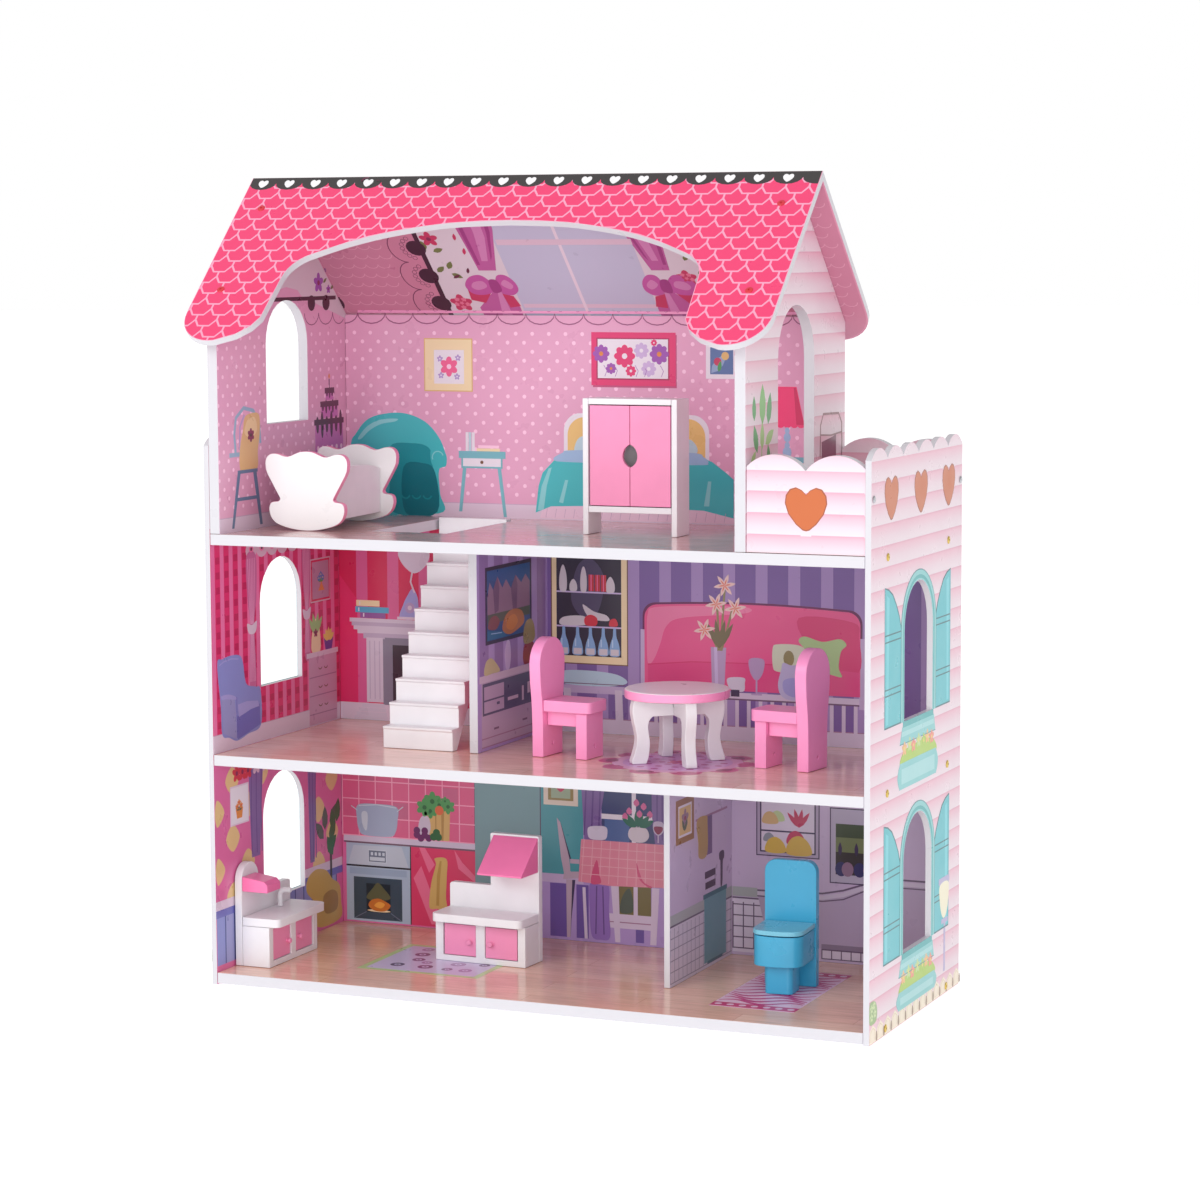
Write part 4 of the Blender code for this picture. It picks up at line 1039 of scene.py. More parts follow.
def mid_left_side():
    """Left wall of the middle storey."""
    sheet = Print("mid_left_side_print", (LEFT_IN, FRONT, MIDDLE), Y, Z, MIDDLE_WINDOW)
    pink_stripes(sheet, 236.5)
    for k in range(7):
        u = 72 + 19 * k
        sheet.disc(2, "voile_pale", u, 171, 10, 7.5)
        sheet.disc(3, "stripe_pink", u, 172, 4, 3)
        sheet.disc(4, "dark_brown", u, 172, 1.6)
    lace_curtain(sheet, 63, 80, 52, 166, 102)
    lace_curtain(sheet, 166, 181, 66, 166, 104)
    sheet.framed(3, "voile_pale", "hot_deep", 181, 113, 219.5, 153, 1.2)
    sheet.rect(5, "mauve_paper", 184.5, 116, 216.5, 150)
    sheet.shape(6, "orange", [(196, 123), (208, 123), (203, 130), (205, 134), (198, 134), (201, 130)])
    bouquet(sheet, 6, 201, 131, 8, "blue", "yellow")
    dresser(sheet)
    sheet.blob(3, "cream", (183, 68), (182, 80), (186, 92), (190, 98), (196, 92), (199, 80), (198, 68))
    for turn in (50, 75, 105, 130):
        sheet.leaf(4, "green_light", 190, 84, 20, turn, 0.3)
    sheet.flower(5, "wine", "dark_brown", 190, 85, 4)
    sheet.shape(3, "violet", [(206, 78), (224, 78), (221, 67.5), (209, 67.5)])
    for turn in (30, 60, 90, 120, 150):
        sheet.leaf(4, "yellow", 215, 76, 12, turn, 0.45)
    mid_armchair(sheet)
    sheet.done()


def mid_left_back():
    """Fireplace with a mantel shelf, books, a telephone and a lamp."""
    sheet = Print("mid_left_back_print", (LEFT_IN, BACK, MIDDLE), X, Z)
    sheet.rect(0, "hot_deep", 0.5, 16, 202, STOREY - 0.5)
    stripes(sheet, 0.5, "stripe_mid", (0.5, 16, 202, STOREY - 0.5), 24, 32, 11.5)
    # Painted highlight: a lighter hot pink patch below a slanting edge in the left corner, standing for
    # light falling on the wallpaper.
    sheet.shape(1, "hot_painted_highlight", [(1, 16), (19, 16), (19, 112), (1, 134)])
    sheet.rect(1, "skirting", 0.5, 0.3, 202, 16)
    for low, inset in ((94.5, 0), (91, 2), (87.5, 4), (84, 8), (81, 14)):
        sheet.rect(3 + inset * 0.02, "mantel" if inset % 4 else "mantel_light", 11 + inset, low - 3.5,
                   133 - inset, low + 0.2)
    for u0, u1 in ((28, 45), (99, 116)):
        sheet.rect(2, "mantel", u0 - 3, 76, u1 + 2, 82)
        sheet.rect(2, "mantel_light", u0, 17, u1, 77)
        for u in (u0 + 3.5, u0 + 8.5, u0 + 13.5):
            sheet.rect(3, "mantel", u - 0.5, 20, u + 0.5, 74)
        for v, spread in ((12, 5), (8, 8), (4, 11), (0.5, 13)):
            sheet.rect(3, "mantel_light", u0 - spread, v, u1 + spread * 0.3, v + 3.4)
    sheet.rect(2, "stone", 45, 15, 99, 82)
    sheet.rect(3, "stone_dark", 55, 16, 89, 71)
    sheet.blob(4, "orange", (62, 18), (64, 30), (70, 26), (73, 40), (78, 28), (83, 32), (84, 18))
    sheet.blob(5, "yellow", (66, 18), (69, 26), (73, 31), (77, 24), (80, 18))
    for v, name, u0, u1 in ((95, "violet_soft", 22, 48), (100, "book_blue", 17, 51.5),
                            (106, "cream", 18, 42)):
        sheet.rect(3, name, u0, v, u1, v + 5.4)
        sheet.rect(4, "paper", u0 + 3, v + 1, u0 + 4.2, v + 4.4)
    sheet.blob(3, "peri_light", (63, 96), (66, 108), (70, 116), (76, 124), (81, 116), (82, 104), (82, 96))
    sheet.rect(3, "skirting", 60, 95, 92, 97.5)
    sheet.disc(4, "lilac_soft", 73, 106, 5)
    sheet.disc(5, "skirting", 73, 106, 2.2)
    sheet.blob(4, "mantel_light", (62, 158), (66, 146), (78, 138), (90, 146), (93, 158), (78, 162))
    sheet.line(4, "mantel_light", 1.6, [(76, 140), (74, 130), (78, 120)])
    sheet.rect(2, "voile_pale", 140, 20, 200, 170)
    sheet.done()


def mountain_picture(sheet):
    """Dark frame with mountains, a lake and autumn shrubs."""
    sheet.framed(3, "ink_frame", "deep_blue", 17, 92, 114, 159.5, 3.2)
    sheet.shape(5, "evening_sky", [(21, 156), (110, 156), (110, 146), (60, 142), (21, 149)])
    sheet.shape(5, "mauve_dusk", [(21, 134), (26, 146), (33, 139), (42, 150), (52, 139), (60, 146),
                                  (70, 137), (80, 148), (92, 140), (101, 147), (110, 140), (110, 116),
                                  (21, 116)])
    sheet.shape(6, "mauve_shadow", [(33, 139), (42, 150), (46, 140), (44, 120), (36, 118)])
    sheet.shape(6, "mauve_shadow", [(70, 137), (80, 148), (84, 139), (82, 118), (74, 118)])
    sheet.rect(6, "green_dusk", 21, 110, 110, 118)
    sheet.blob(7, "shrub", (52, 102), (56, 112), (66, 117), (80, 118), (94, 114), (97, 104), (78, 98),
               (64, 97))
    sheet.blob(8, "orange_dusk", (60, 104), (66, 112), (78, 113), (84, 106), (72, 100))
    sheet.blob(7, "brick_dusk", (22, 106), (26, 114), (38, 116), (46, 110), (38, 104))
    sheet.shape(6.5, "lake", [(21, 104), (54, 101), (60, 96), (21, 96)])
    sheet.line(7.5, "sky_soft", 0.8, [(28, 101), (50, 100)])


def mid_partition():
    """Right side of the middle storey's partition."""
    sheet = Print("mid_partition_print", (-0.07765, INNER_EDGE, MIDDLE), Y, Z)
    sheet.rect(0, "lilac", 0.5, 0.3, 147.5, STOREY - 0.5)
    stripes(sheet, 0.5, "purple_mid", (0.5, 60, 147.5, STOREY - 0.5), 14, 30.3, 18)
    mountain_picture(sheet)
    sheet.rect(2, "cabinet_mauve", 8, 3, 122, 61)
    sheet.rect(3, "cabinet_light", 4, 60, 124, 66)
    sheet.rect(3, "slate_purple", 10, 31, 116, 59)
    sheet.rect(4, "cabinet_mauve", 13, 44.5, 54, 56)
    sheet.rect(4, "cabinet_mauve", 13, 33, 54, 43)
    sheet.rect(5, "slate_purple", 39, 38, 45, 40.4)
    sheet.rect(4, "cabinet_light", 62, 38.5, 84, 41.5)
    sheet.rect(4, "cabinet_light", 92, 35, 96, 48)
    sheet.rect(4, "cabinet_light", 104, 40, 109, 50)
    for v in (10.4, 3):
        sheet.rect(3, "mauve_line", 8, v, 122, v + 1)
    for u in (38, 98):
        sheet.rect(4, "mauve_shadow", u - 5, 16.6, u + 5, 18.4)
    sheet.blob(4, "cushion_dusk", (14, 66.5), (17, 77), (27, 80), (36, 76), (46, 67), (30, 66.2))
    sheet.blob(4, "lilac_light", (59, 67), (57, 80), (61, 91), (67, 90), (69, 78), (66, 67))
    sheet.blob(4, "red_dusk", (97, 67), (95, 76), (99, 84), (110, 86), (119, 82), (118, 68), (108, 66.5))
    sheet.blob(5, "olive_gold", (98, 85), (97, 98), (104, 105), (114, 105), (120, 97), (119, 86))
    sheet.done()


def display_cabinet(sheet):
    """Glazed cabinet with vases, plates and bottles on three shelves."""
    sheet.framed(2, "brown", "brown", 4, 62, 79, 165, 0.5)
    sheet.rect(3, "cream", 5, 63, 78, 164)
    sheet.rect(4, "cabinet_dark", 9.5, 69.5, 72.5, 160)
    sheet.blob(5, "cabinet_glass", (24, 120), (30, 150), (44, 157), (56, 140), (50, 110), (36, 104))
    for v in (127, 96):
        sheet.rect(6, "lilac_light", 9.5, v - 0.7, 72.5, v + 0.7)
    for u, tall, wide in ((16, 22, 6), (36, 21, 5), (26, 10, 6), (62, 13, 7)):
        sheet.blob(6, "china", (u - wide / 2, 128), (u - wide / 2 - 0.6, 128 + tall * 0.55),
                   (u - 1.2, 128 + tall), (u + 1.2, 128 + tall),
                   (u + wide / 2 + 0.6, 128 + tall * 0.55), (u + wide / 2, 128))
    for u in (41, 47, 53):
        sheet.rect(6, "red_soft", u, 128.2, u + 5, 143)
        sheet.rect(7, "stripe_pink", u + 2, 128.2, u + 2.8, 143)
    sheet.blob(6, "china", (14, 97), (16, 104), (36, 105.5), (40, 98))
    sheet.blob(6, "china", (35, 116), (46, 110), (58, 107), (60, 102), (42, 104))
    sheet.blob(7, "red", (38, 97.5), (37, 104), (43, 107), (49, 104), (48, 97.5))
    sheet.blob(7, "red", (61, 97.5), (62, 103), (67, 104), (69, 98))
    for u in (16.5, 30, 42.5, 55, 66):
        sheet.blob(6, "bottle", (u - 4.6, 71), (u - 4.4, 80), (u - 1.8, 88), (u - 1.2, 95),
                   (u + 1.2, 95), (u + 1.8, 88), (u + 4.4, 80), (u + 4.6, 71))
        sheet.rect(7, "china", u - 4, 71, u + 4, 76.5)
        sheet.rect(7, "bottle_light", u - 2.6, 78, u - 1.4, 85)


def pink_sofa(sheet):
    """Rounded sofa on a slatted frame."""
    for layer, name, gap in ((2, "wine_line", 0), (3, "sofa", 1.8)):
        low, high = 93 + gap, 298.5 - gap
        crest = [(u, 120.5 - gap + 3 * math.sin(math.pi * (u - 105) / 181)) for u in range(286, 104, -12)]
        sheet.shape(layer, name, [(low, 45), (high, 45)] + arc(high - 12, 108.5 - gap, 12, 0, 82, 8)
                    + crest + arc(low + 12, 108.5 - gap, 12, 98, 180, 8))
    sheet.blob(4, "sofa_light", (97, 92), (98, 110), (104, 116), (140, 118.6), (190, 119.6), (190, 114),
               (132, 108), (116, 100), (110, 84), (104, 70), (98, 66))
    sheet.blob(4, "sofa_deep", (240, 112), (290, 110), (295.6, 96), (295, 66), (262, 66), (250, 84))
    sheet.shape(4.5, "sofa_seat", [(98, 45), (98, 65), (140, 69), (200, 70), (262, 69), (295.5, 67),
                                   (295.5, 45)])
    sheet.line(5, "sofa_deep", 1.1, [(98, 65), (140, 69), (200, 70), (262, 69), (295.5, 67)])
    sheet.rect(3.5, "rail_lilac", 91, 34, 98, 96)
    sheet.rect(3.5, "rail_lilac", 295.8, 34, 302, 96)
    sheet.rect(5, "rail_light", 98, 38, 296, 43.5)
    sheet.rect(5.5, "mauve_shadow", 98, 36.8, 296, 38.2)
    for u in range(104, 296, 11):
        sheet.rect(4, "rail_light", u, 6, u + 3.4, 37)
    sheet.rect(5, "rail_light", 98, 3, 296, 7)


def bench_and_wall(sheet):
    """Blue cushioned bench and the skirting."""
    sheet.blob(3, "bench_blue", (8, 47), (14, 55), (40, 56.5), (68, 54), (78, 47), (60, 43), (24, 43))
    sheet.line(4, "mauve_shadow", 0.8, [(10, 44.6), (76, 44.6)])
    sheet.rect(2, "rail_lilac", 12, 36, 76, 43)
    for u in (16, 66):
        sheet.shape(3, "rail_light", [(u, 40), (u + 7, 40), (u + 8.5, 3), (u + 1, 3)])
    sheet.rect(1.5, "rail_light", 0.5, 0.3, 379, 13)
    sheet.rect(1.8, "mauve_line", 0.5, 13, 379, 13.9)


def sofa_things(sheet):
    """Lilies in a vase, a mug, a glass, a jug and two cushions."""
    sheet.shape(6, "vase_lilac", [(159, 50), (171, 50), (172.5, 83), (158, 83)])
    sheet.shape(7, "lilac_light", [(162, 50), (165, 50), (164, 83), (161, 83)])
    for turn_points in ([(165, 80), (156, 100)], [(166, 80), (164, 120)], [(167, 80), (171, 134)],
                        [(168, 80), (178, 116)]):
        sheet.line(6, "stem", 2.0, turn_points)
    for turn in (60, 78, 98, 118):
        sheet.leaf(6.5, "stem_dark", 166, 82, 26, turn, 0.2)
    for u, v in ((152, 98), (163, 121), (171, 138), (181, 118)):
        for turn in range(10, 370, 60):
            sheet.leaf(7, "lily", u, v, 10.5, turn, 0.34)
            sheet.leaf(8, "lily_deep", u, v, 6.0, turn, 0.2)
    sheet.blob(6, "china_lilac", (174, 56), (175, 48), (180, 45), (189, 45), (190, 52), (189, 57))
    sheet.rect(6, "dark_mug", 177, 40, 185, 46)
    sheet.blob(6, "vase_lilac", (194.5, 74), (194.5, 64), (198, 57), (201, 55.5), (204, 57),
               (207.5, 64), (207.5, 74))
    sheet.rect(6, "vase_lilac", 200.2, 43, 201.8, 56)
    sheet.rect(6, "vase_lilac", 196, 42, 206, 43.6)
    sheet.blob(5.5, "cushion_green", (240, 92), (246, 96), (262, 92), (278, 95), (284, 90), (279, 84),
               (277, 70), (280, 62), (272, 63), (262, 66), (250, 70), (246, 84))
    sheet.blob(6, "cushion_cream", (216, 84), (220, 88), (240, 88), (247, 82), (246, 68), (240, 64),
               (220, 64), (216, 70))
    sheet.disc(7, "stem", 231, 76, 5, 7)
    sheet.blob(7, "jug", (224, 66), (221, 52), (225, 42), (236, 39), (246, 43), (249, 56), (245, 66),
               (246, 72), (234, 70), (226, 72))
    sheet.blob(8, "peri_light", (226, 56), (227, 46), (236, 42), (243, 46), (245, 56), (236, 59))


def mid_right_back():
    """Back wall of the purple room."""
    sheet = Print("mid_right_back_print", (-0.07765, BACK, MIDDLE), X, Z)
    sheet.rect(0, "stripe_lilac", 0.5, 0.3, 379, STOREY - 0.5)
    stripes(sheet, 0.5, "stripe_purple", (80, 3, 379, STOREY - 0.5), 99.5, 30.3, 19.2)
    stripes(sheet, 0.5, "stripe_purple", (0.5, 3, 80, STOREY - 0.5), 99.5, 30.3, 19.2)
    display_cabinet(sheet)
    bench_and_wall(sheet)
    pink_sofa(sheet)
    sofa_things(sheet)
    sheet.done()


# ---------------------------------------------------------------- ground storey

def kitchen_tiles(sheet):
    """Pink wall tiles over the counter."""
    sheet.rect(0.5, "kitchen_tile", 0.5, 80, 137, STOREY - 0.5)
    grid(sheet, 1, "kitchen_line", (0.5, 82, 137, 180), 17.2, 1.0)
    for u, v in ((18, 134), (53, 100), (87, 151), (104, 117), (36, 168), (70, 134)):
        sheet.rect(1, "kitchen_soft", u + 0.6, v + 0.4, u + 16, v + 15.4)


def oven(sheet):
    """Counter, oven with a roast behind its window, and a cupboard with a towel."""
    sheet.rect(4, "counter", 2, 76.5, 137, 82)
    sheet.rect(5, "counter_dark", 2, 75.2, 137, 76.8)
    sheet.rect(3, "steel_blue", 4.5, 2, 70.5, 75.5)
    sheet.shape(4, "steel", [(6, 55), (12, 73), (62, 74), (69, 55)])
    sheet.rect(5, "steel_light", 27, 57.5, 46.5, 70)
    sheet.rect(5.5, "steel_line", 28, 58.5, 45.5, 69)
    sheet.rect(6, "steel_light", 29, 59.5, 44.5, 63)
    for u in (30, 34, 38, 42):
        sheet.rect(6, "steel_light", u, 64.5, u + 2.4, 67.5)
    sheet.rect(5, "ink", 4.5, 53.2, 70.5, 54.8)
    sheet.rect(4, "steel_soft", 8, 46, 67, 52)
    sheet.rect(5, "slate_dark", 12, 4, 62, 43.5)
    sheet.rect(6, "oven_dark", 25, 11, 50, 38)
    sheet.line(6, "steel_line", 0.7, [(12, 4), (25, 11)])
    sheet.line(6, "steel_line", 0.7, [(62, 4), (50, 11)])
    sheet.blob(7, "olive_dusk", (25, 24), (32, 34), (37, 39), (43, 34), (50, 25), (38, 22))
    sheet.blob(7.5, "roast", (27, 17), (30, 22), (37, 24), (44, 22), (50, 18), (44, 12.5), (33, 12.5))
    sheet.blob(8, "roast_light", (33, 17), (38, 21), (44, 19), (40, 15))
    sheet.disc(7, "cream", 38, 12.5, 12, 1.2)
    sheet.rect(3, "ink", 70.3, 2, 71.6, 76)
    sheet.rect(3, "cupboard_pink", 71.6, 2, 137, 75.6)
    sheet.shape(4, "cupboard_glow", [(74, 46), (92, 4), (104, 4), (82, 58)])
    sheet.shape(4, "cupboard_glow", [(80, 75), (90, 52), (96, 60), (86, 75)])
    sheet.shape(4, "cupboard_glow", [(116, 75), (120, 58), (137, 46), (137, 52), (124, 64)])
    sheet.blob(5, "towel", (90, 20), (92, 42), (97, 60), (96, 66), (108, 66), (108, 50), (107, 30),
               (108, 18), (98, 19))
    sheet.shape(6, "towel_dark", [(97, 22), (98, 50), (101, 64), (103, 64), (101, 45), (100, 22)])


def kitchen_food(sheet):
    """Pot, and a paper bag with vegetables."""
    sheet.blob(5, "pot", (17, 111), (16, 98), (18, 88), (24, 83), (50, 83), (56, 88), (58, 98),
               (57.5, 111), (37, 113))
    sheet.line(6, "steel_light", 1.0, [(18, 110.5), (37, 112.4), (57, 110.5)])
    sheet.line(6, "steel_light", 0.8, [(10, 110), (16.5, 106)])
    sheet.line(6, "steel_light", 0.8, [(64, 112), (57.6, 107)])
    sheet.blob(6, "steel_light", (21, 104), (22, 92), (26, 88), (27, 104))
    sheet.shape(5, "tan", [(90, 83), (111, 83), (112, 113), (100, 110), (88, 114)])
    sheet.shape(6, "tan_dark", [(103, 83), (105, 83), (106, 112), (103, 111)])
    sheet.shape(6, "tan_dark", [(97, 83), (98, 83), (98, 111), (96.6, 111)])
    sheet.blob(5.5, "sack", (80, 84), (80, 98), (84, 105), (90, 104), (92, 94), (88, 84))
    for u, v, radius in ((86, 113, 6), (94, 119, 6.5), (101, 116, 5), (92, 110, 5), (110, 115, 5),
                         (107, 120, 3)):
        sheet.flower(7, "green", "green_dark", u, v, radius * 1.4, 6)
    sheet.disc(8, "carrot", 101, 111, 4.4)
    for u, v in ((78, 87), (82, 84), (86, 87), (90, 84.5), (86, 91), (78, 91)):
        sheet.disc(8, "grape", u, v, 3.4)
    for u, v in ((95, 86), (100, 86), (98, 90)):
        sheet.disc(8, "green_dark", u, v, 3.6)


def dining_corner(sheet):
    """Teal wall, picture and curtain beside the dining table."""
    sheet.rect(0.5, "teal_grey", 137, 0.3, 203, STOREY - 0.5)
    sheet.rect(0.5, "teal_wall", 203, 60, 245, STOREY - 0.5)
    sheet.rect(0.6, "ink_soft", 202.2, 0.3, 203.2, STOREY - 0.5)
    sheet.rect(0.5, "lilac", 203.2, 0.3, 382, 60)
    sheet.rect(0.5, "lilac", 245, 60, 382, STOREY - 0.5)
    for u0, u1 in ((212, 229), (238, 250), (296, 304), (318, 326)):
        sheet.rect(1, "purple_band", u0, 3, u1, 52)
    sheet.rect(2, "rail_lilac", 203.2, 52.5, 245, 60.5)
    sheet.framed(3, "cream_pale", "olive_frame", 206, 123.5, 240, 160, 4.5)
    sheet.rect(5, "sage", 213.5, 130, 232.5, 154)
    sheet.heart(6, "rose_dark", 223, 142, 12)
    dining_window(sheet)
    dining_table(sheet)


def dining_window(sheet):
    """Window behind the dining table."""
    sheet.rect(2, "navy", 263, 90, 318, STOREY - 4)
    sheet.rect(3, "navy_light", 266, 94, 290, 114)
    sheet.rect(4, "paper", 292.5, 90, 296.5, STOREY - 4)
    sheet.rect(4.5, "paper", 263, 114, 318, 118.6)
    sheet.shape(5, "curtain_purple", [(241, STOREY - 3), (269, STOREY - 3), (266, 140), (262, 118),
                                      (265, 94), (246, 94), (244, 130)])
    sheet.shape(5, "curtain_purple", [(311, STOREY - 3), (327, STOREY - 3), (327, 94), (315, 94),
                                      (312, 120)])
    for u in (247, 254, 261):
        sheet.line(6, "curtain_shade", 1.4, [(u, STOREY - 5), (u + 1, 140), (u - 1, 98)])
    for u in (317, 322):
        sheet.line(6, "curtain_shade", 1.2, [(u, STOREY - 5), (u, 98)])


def dining_table(sheet):
    """Table with a gingham cloth, a chair, flowers, a mug and a glass."""
    sheet.rect(3, "olive_view", 279, 27, 311, 56)
    sheet.blob(4, "green_dusk", (281, 30), (283, 44), (290, 52), (294, 38), (292, 30))
    sheet.rect(5, "rail_light", 294, 27, 298, 56)
    sheet.rect(4, "rail_light", 270, 15, 312, 28)
    sheet.rect(5, "mauve_line", 270, 20, 312, 21)
    sheet.blob(4, "curtain_violet", (252, 55), (251, 30), (253, 6), (262, 3), (271, 6), (270, 30),
               (269, 55))
    sheet.line(5, "curtain_shade", 1.2, [(258, 52), (257, 8)])
    sheet.line(5, "curtain_shade", 1.2, [(264, 52), (265, 8)])
    for points in ([(272, 54), (279.5, 54), (281, 2), (276, 2)], [(312, 54), (319, 54), (316, 2), (310, 2)],
                   [(244, 50), (247, 50), (249, 3), (246, 3)]):
        sheet.shape(6, "rail_light", points)
    sheet.shape(6, "gingham", [(243, 94), (325, 94), (326, 55), (302, 54), (270, 53), (240, 55)])
    for k in range(10):
        sheet.line(7, "gingham_line", 0.7, [(246 + 8.6 * k, 94), (243 + 8.9 * k, 54.5)])
    for v in (62, 70, 78, 86):
        sheet.rect(7.5, "gingham_line", 243, v, 325, v + 0.7)
    sheet.blob(8, "gingham_dark", (258, 76), (261, 62), (262, 55), (252, 55))
    sheet.blob(8, "gingham_dark", (297, 76), (299, 62), (308, 54.5), (312, 55), (303, 60))
    sheet.shape(6, "chair_mauve", [(219, 112), (222.5, 108), (231, 76), (233, 58), (227, 56), (223, 76)])
    sheet.shape(7, "chair_line", [(222.5, 108), (224.2, 103), (233, 75), (231.5, 75)])
    sheet.shape(6, "chair_mauve", [(225, 56), (242, 58), (243, 64), (226, 63)])
    sheet.rect(6, "chair_mauve", 232, 71, 241, 75)
    sheet.rect(6.5, "teal_wall", 232, 64, 240, 71)
    sheet.shape(6, "chair_mauve", [(228, 56), (234, 56), (232, 3), (228.5, 3)])
    sheet.shape(7, "chair_line", [(234, 56), (237, 56), (233, 20), (232, 3)])
    sheet.blob(8, "china_lilac", (250, 105), (250, 97), (254, 94.5), (264, 94.5), (268, 97), (268, 106),
               (259, 107))
    sheet.blob(8, "china", (291, 107), (289, 100), (294, 95), (304, 95), (309, 100), (307, 107), (299, 109))
    for u, v, turn in ((298, 108, 70), (299, 108, 100), (297, 108, 130), (300, 108, 50), (301, 108, 30),
                       (296, 108, 150)):
        sheet.leaf(8.5, "green_deep", u, v, 15, turn, 0.35)
    for u, v in ((290, 119), (297, 127), (304, 124), (310, 117), (286, 114), (300, 117)):
        sheet.leaf(9, "tulip", u, v, 7, 90, 0.8)
    sheet.blob(8, "glass", (314, 114), (313.5, 106), (318, 102), (323, 106), (322.5, 114))
    sheet.blob(9, "wine", (314.6, 110), (314.4, 106.4), (318, 103), (322, 106.4), (321.8, 110))
    sheet.rect(8, "glass", 317.4, 95.5, 318.6, 103)


def kitchen_back():
    """Back wall of the kitchen."""
    sheet = Print("kitchen_back_print", (LEFT_IN, BACK, GROUND), X, Z)
    kitchen_tiles(sheet)
    sheet.rect(0.6, "ink_soft", 136.6, 0.3, 137.6, STOREY - 0.5)
    oven(sheet)
    kitchen_food(sheet)
    dining_corner(sheet)
    sheet.done()


def ground_partition():
    """Bathroom side: tiles, a rail, a cabinet with towels and a picture."""
    sheet = Print("ground_partition_print", (0.1002, INNER_EDGE, GROUND), Y, Z)
    bathroom_wall(sheet, 147.5)
    sheet.framed(3, "bronze", "bath_light", 14, 120, 56, 158.5, 5.5)
    sheet.rect(5, "gold_soft", 21.5, 127.5, 48.5, 151)
    sheet.flower(6, "mauve_dusk", "wine", 35, 141, 8)
    sheet.leaf(6, "green_dusk", 34, 130, 12, 60)
    sheet.leaf(6, "green_dusk", 34, 130, 12, 120)
    sheet.blob(4, "mustard_soft", (63, 134), (85, 135), (88, 128), (87, 101), (68, 100.5), (66, 114))
    sheet.rect(3.5, "violet_dusk", 86, 100, 99, 134)
    sheet.rect(3, "mauve_line", 60, 133.5, 136, 135.5)
    sheet.rect(5, "cabinet_teal", 80, 5, 133, 62)
    sheet.rect(6, "cabinet_teal_dark", 78, 62, 135, 66)
    sheet.rect(6, "cabinet_teal_dark", 88, 3.5, 124, 6)
    for u, v in ((82, 79.5), (83, 70)):
        sheet.rect(6, "towel_plum", u, v, 107, v + 6)
    sheet.blob(6, "towel_plum", (117, 97), (127, 97.5), (128, 91), (125, 88), (124, 70), (120, 67),
               (119.5, 88), (117, 91))
    sheet.done()


def bathroom_wall(sheet, width):
    """Lilac wall over a rail and square tiles."""
    sheet.rect(0.5, "tile_lilac", 0.5, 0.3, width, 53)
    grid(sheet, 1, "tile_line", (0.5, 3, width - 0.6, 50), 9.6, 0.9)
    sheet.rect(2, "rail_sage", 0.5, 53, width, 62)
    sheet.rect(2.5, "tile_dark", 0.5, 51.6, width, 53.2)


def bath_back():
    """Back wall of the bathroom."""
    sheet = Print("bath_back_print", (0.1002, BACK, GROUND), X, Z)
    sheet.rect(0.3, "bath", -0.3, 0.3, 201, STOREY - 0.5)
    sheet.rect(0.5, "bath_light", 0.5, 3, 32, 52)
    grid(sheet, 1, "bath_line", (0.5, 6, 30, 48), 9.8, 1.1)
    sheet.rect(1.5, "rail_sage", 0.5, 53, 24, 61.5)
    sheet.rect(1.5, "bath_line", 0.5, 51, 30, 52.4)
    sheet.framed(3, "ink_purple", "cabinet_rim", 23, 91, 82, 150, 1.0)
    sheet.rect(5, "ink_purple", 26.5, 94.5, 78.5, 146.5)
    sheet.rect(6, "bath_light", 27.8, 95.8, 77.2, 145.2)
    sheet.rect(7, "ink_purple", 27.8, 113, 77.2, 114.4)
    for u, v, name, size in ((36, 124, "gold_soft", 7), (43, 126, "green_pale", 6),
                             (35, 107, "grey", 5), (60, 107, "rose_dark", 8),
                             (41, 99.5, "yellow_soft", 9), (63, 99.5, "yellow_soft", 11)):
        sheet.blob(8, name, (u - size, v - size * 0.5), (u - size * 0.8, v + size * 0.6), (u, v + size),
                   (u + size * 0.8, v + size * 0.5), (u + size, v - size * 0.5))
    for turn in (55, 80, 105, 130):
        sheet.leaf(8, "rose_dark", 63, 118, 17, turn, 0.25)
    bath_mirror(sheet)
    bathtub(sheet)
    sheet.done()


def bath_mirror(sheet):
    """Framed view over the bathtub."""
    sheet.framed(3, "ink_purple", "frame_lilac", 91.5, 71, 152, 138, 1.0)
    sheet.rect(5, "olive_deep", 97, 79, 146.5, 124)
    sheet.rect(6, "olive_light", 97, 99, 146.5, 112)
    sheet.rect(6.5, "dark_wood", 97, 79, 146.5, 99)
    for u in (101, 116, 131, 140):
        sheet.leaf(7, "ink_purple", u, 96, 12, 90, 0.3)
    for u, name in ((102, "indigo"), (108, "mauve_dusk"), (119, "indigo"), (128, "rose_dusk"),
                    (140, "indigo")):
        sheet.disc(7, name, u, 84, 5.5, 6.5)


def bathtub(sheet):
    """Bathtub with its rim."""
    sheet.shape(2, "tub", [(24, 57), (85, 57), (123, 69), (150, 74), (200, 74), (200, 12), (60, 12),
                           (34, 14)])
    sheet.line(3, "tub_line", 1.6, [(24, 59.5), (85, 61), (104, 65), (124, 72), (150, 78), (200, 78)])
    sheet.line(3, "tub_line", 1.2, [(24, 54.5), (85, 54), (104, 57), (124, 66), (150, 71), (200, 71)])
    sheet.line(3.5, "tub_rim", 3.6, [(24, 57), (85, 57.3), (104, 61), (124, 69), (150, 74.5), (200, 74.5)])
    sheet.rect(3, "tub_shade", 84, 11, 201, 16)
    sheet.rect(3, "bath_light", 84, 2.5, 201, 11)
    for u in range(84, 201, 9):
        sheet.rect(4, "tub_line", u, 2.5, u + 1, 11)
    sheet.rect(4.5, "tub_line", 84, 10.4, 201, 11.6)
    sheet.rect(4.5, "tub_line", 84, 2.5, 201, 3.4)


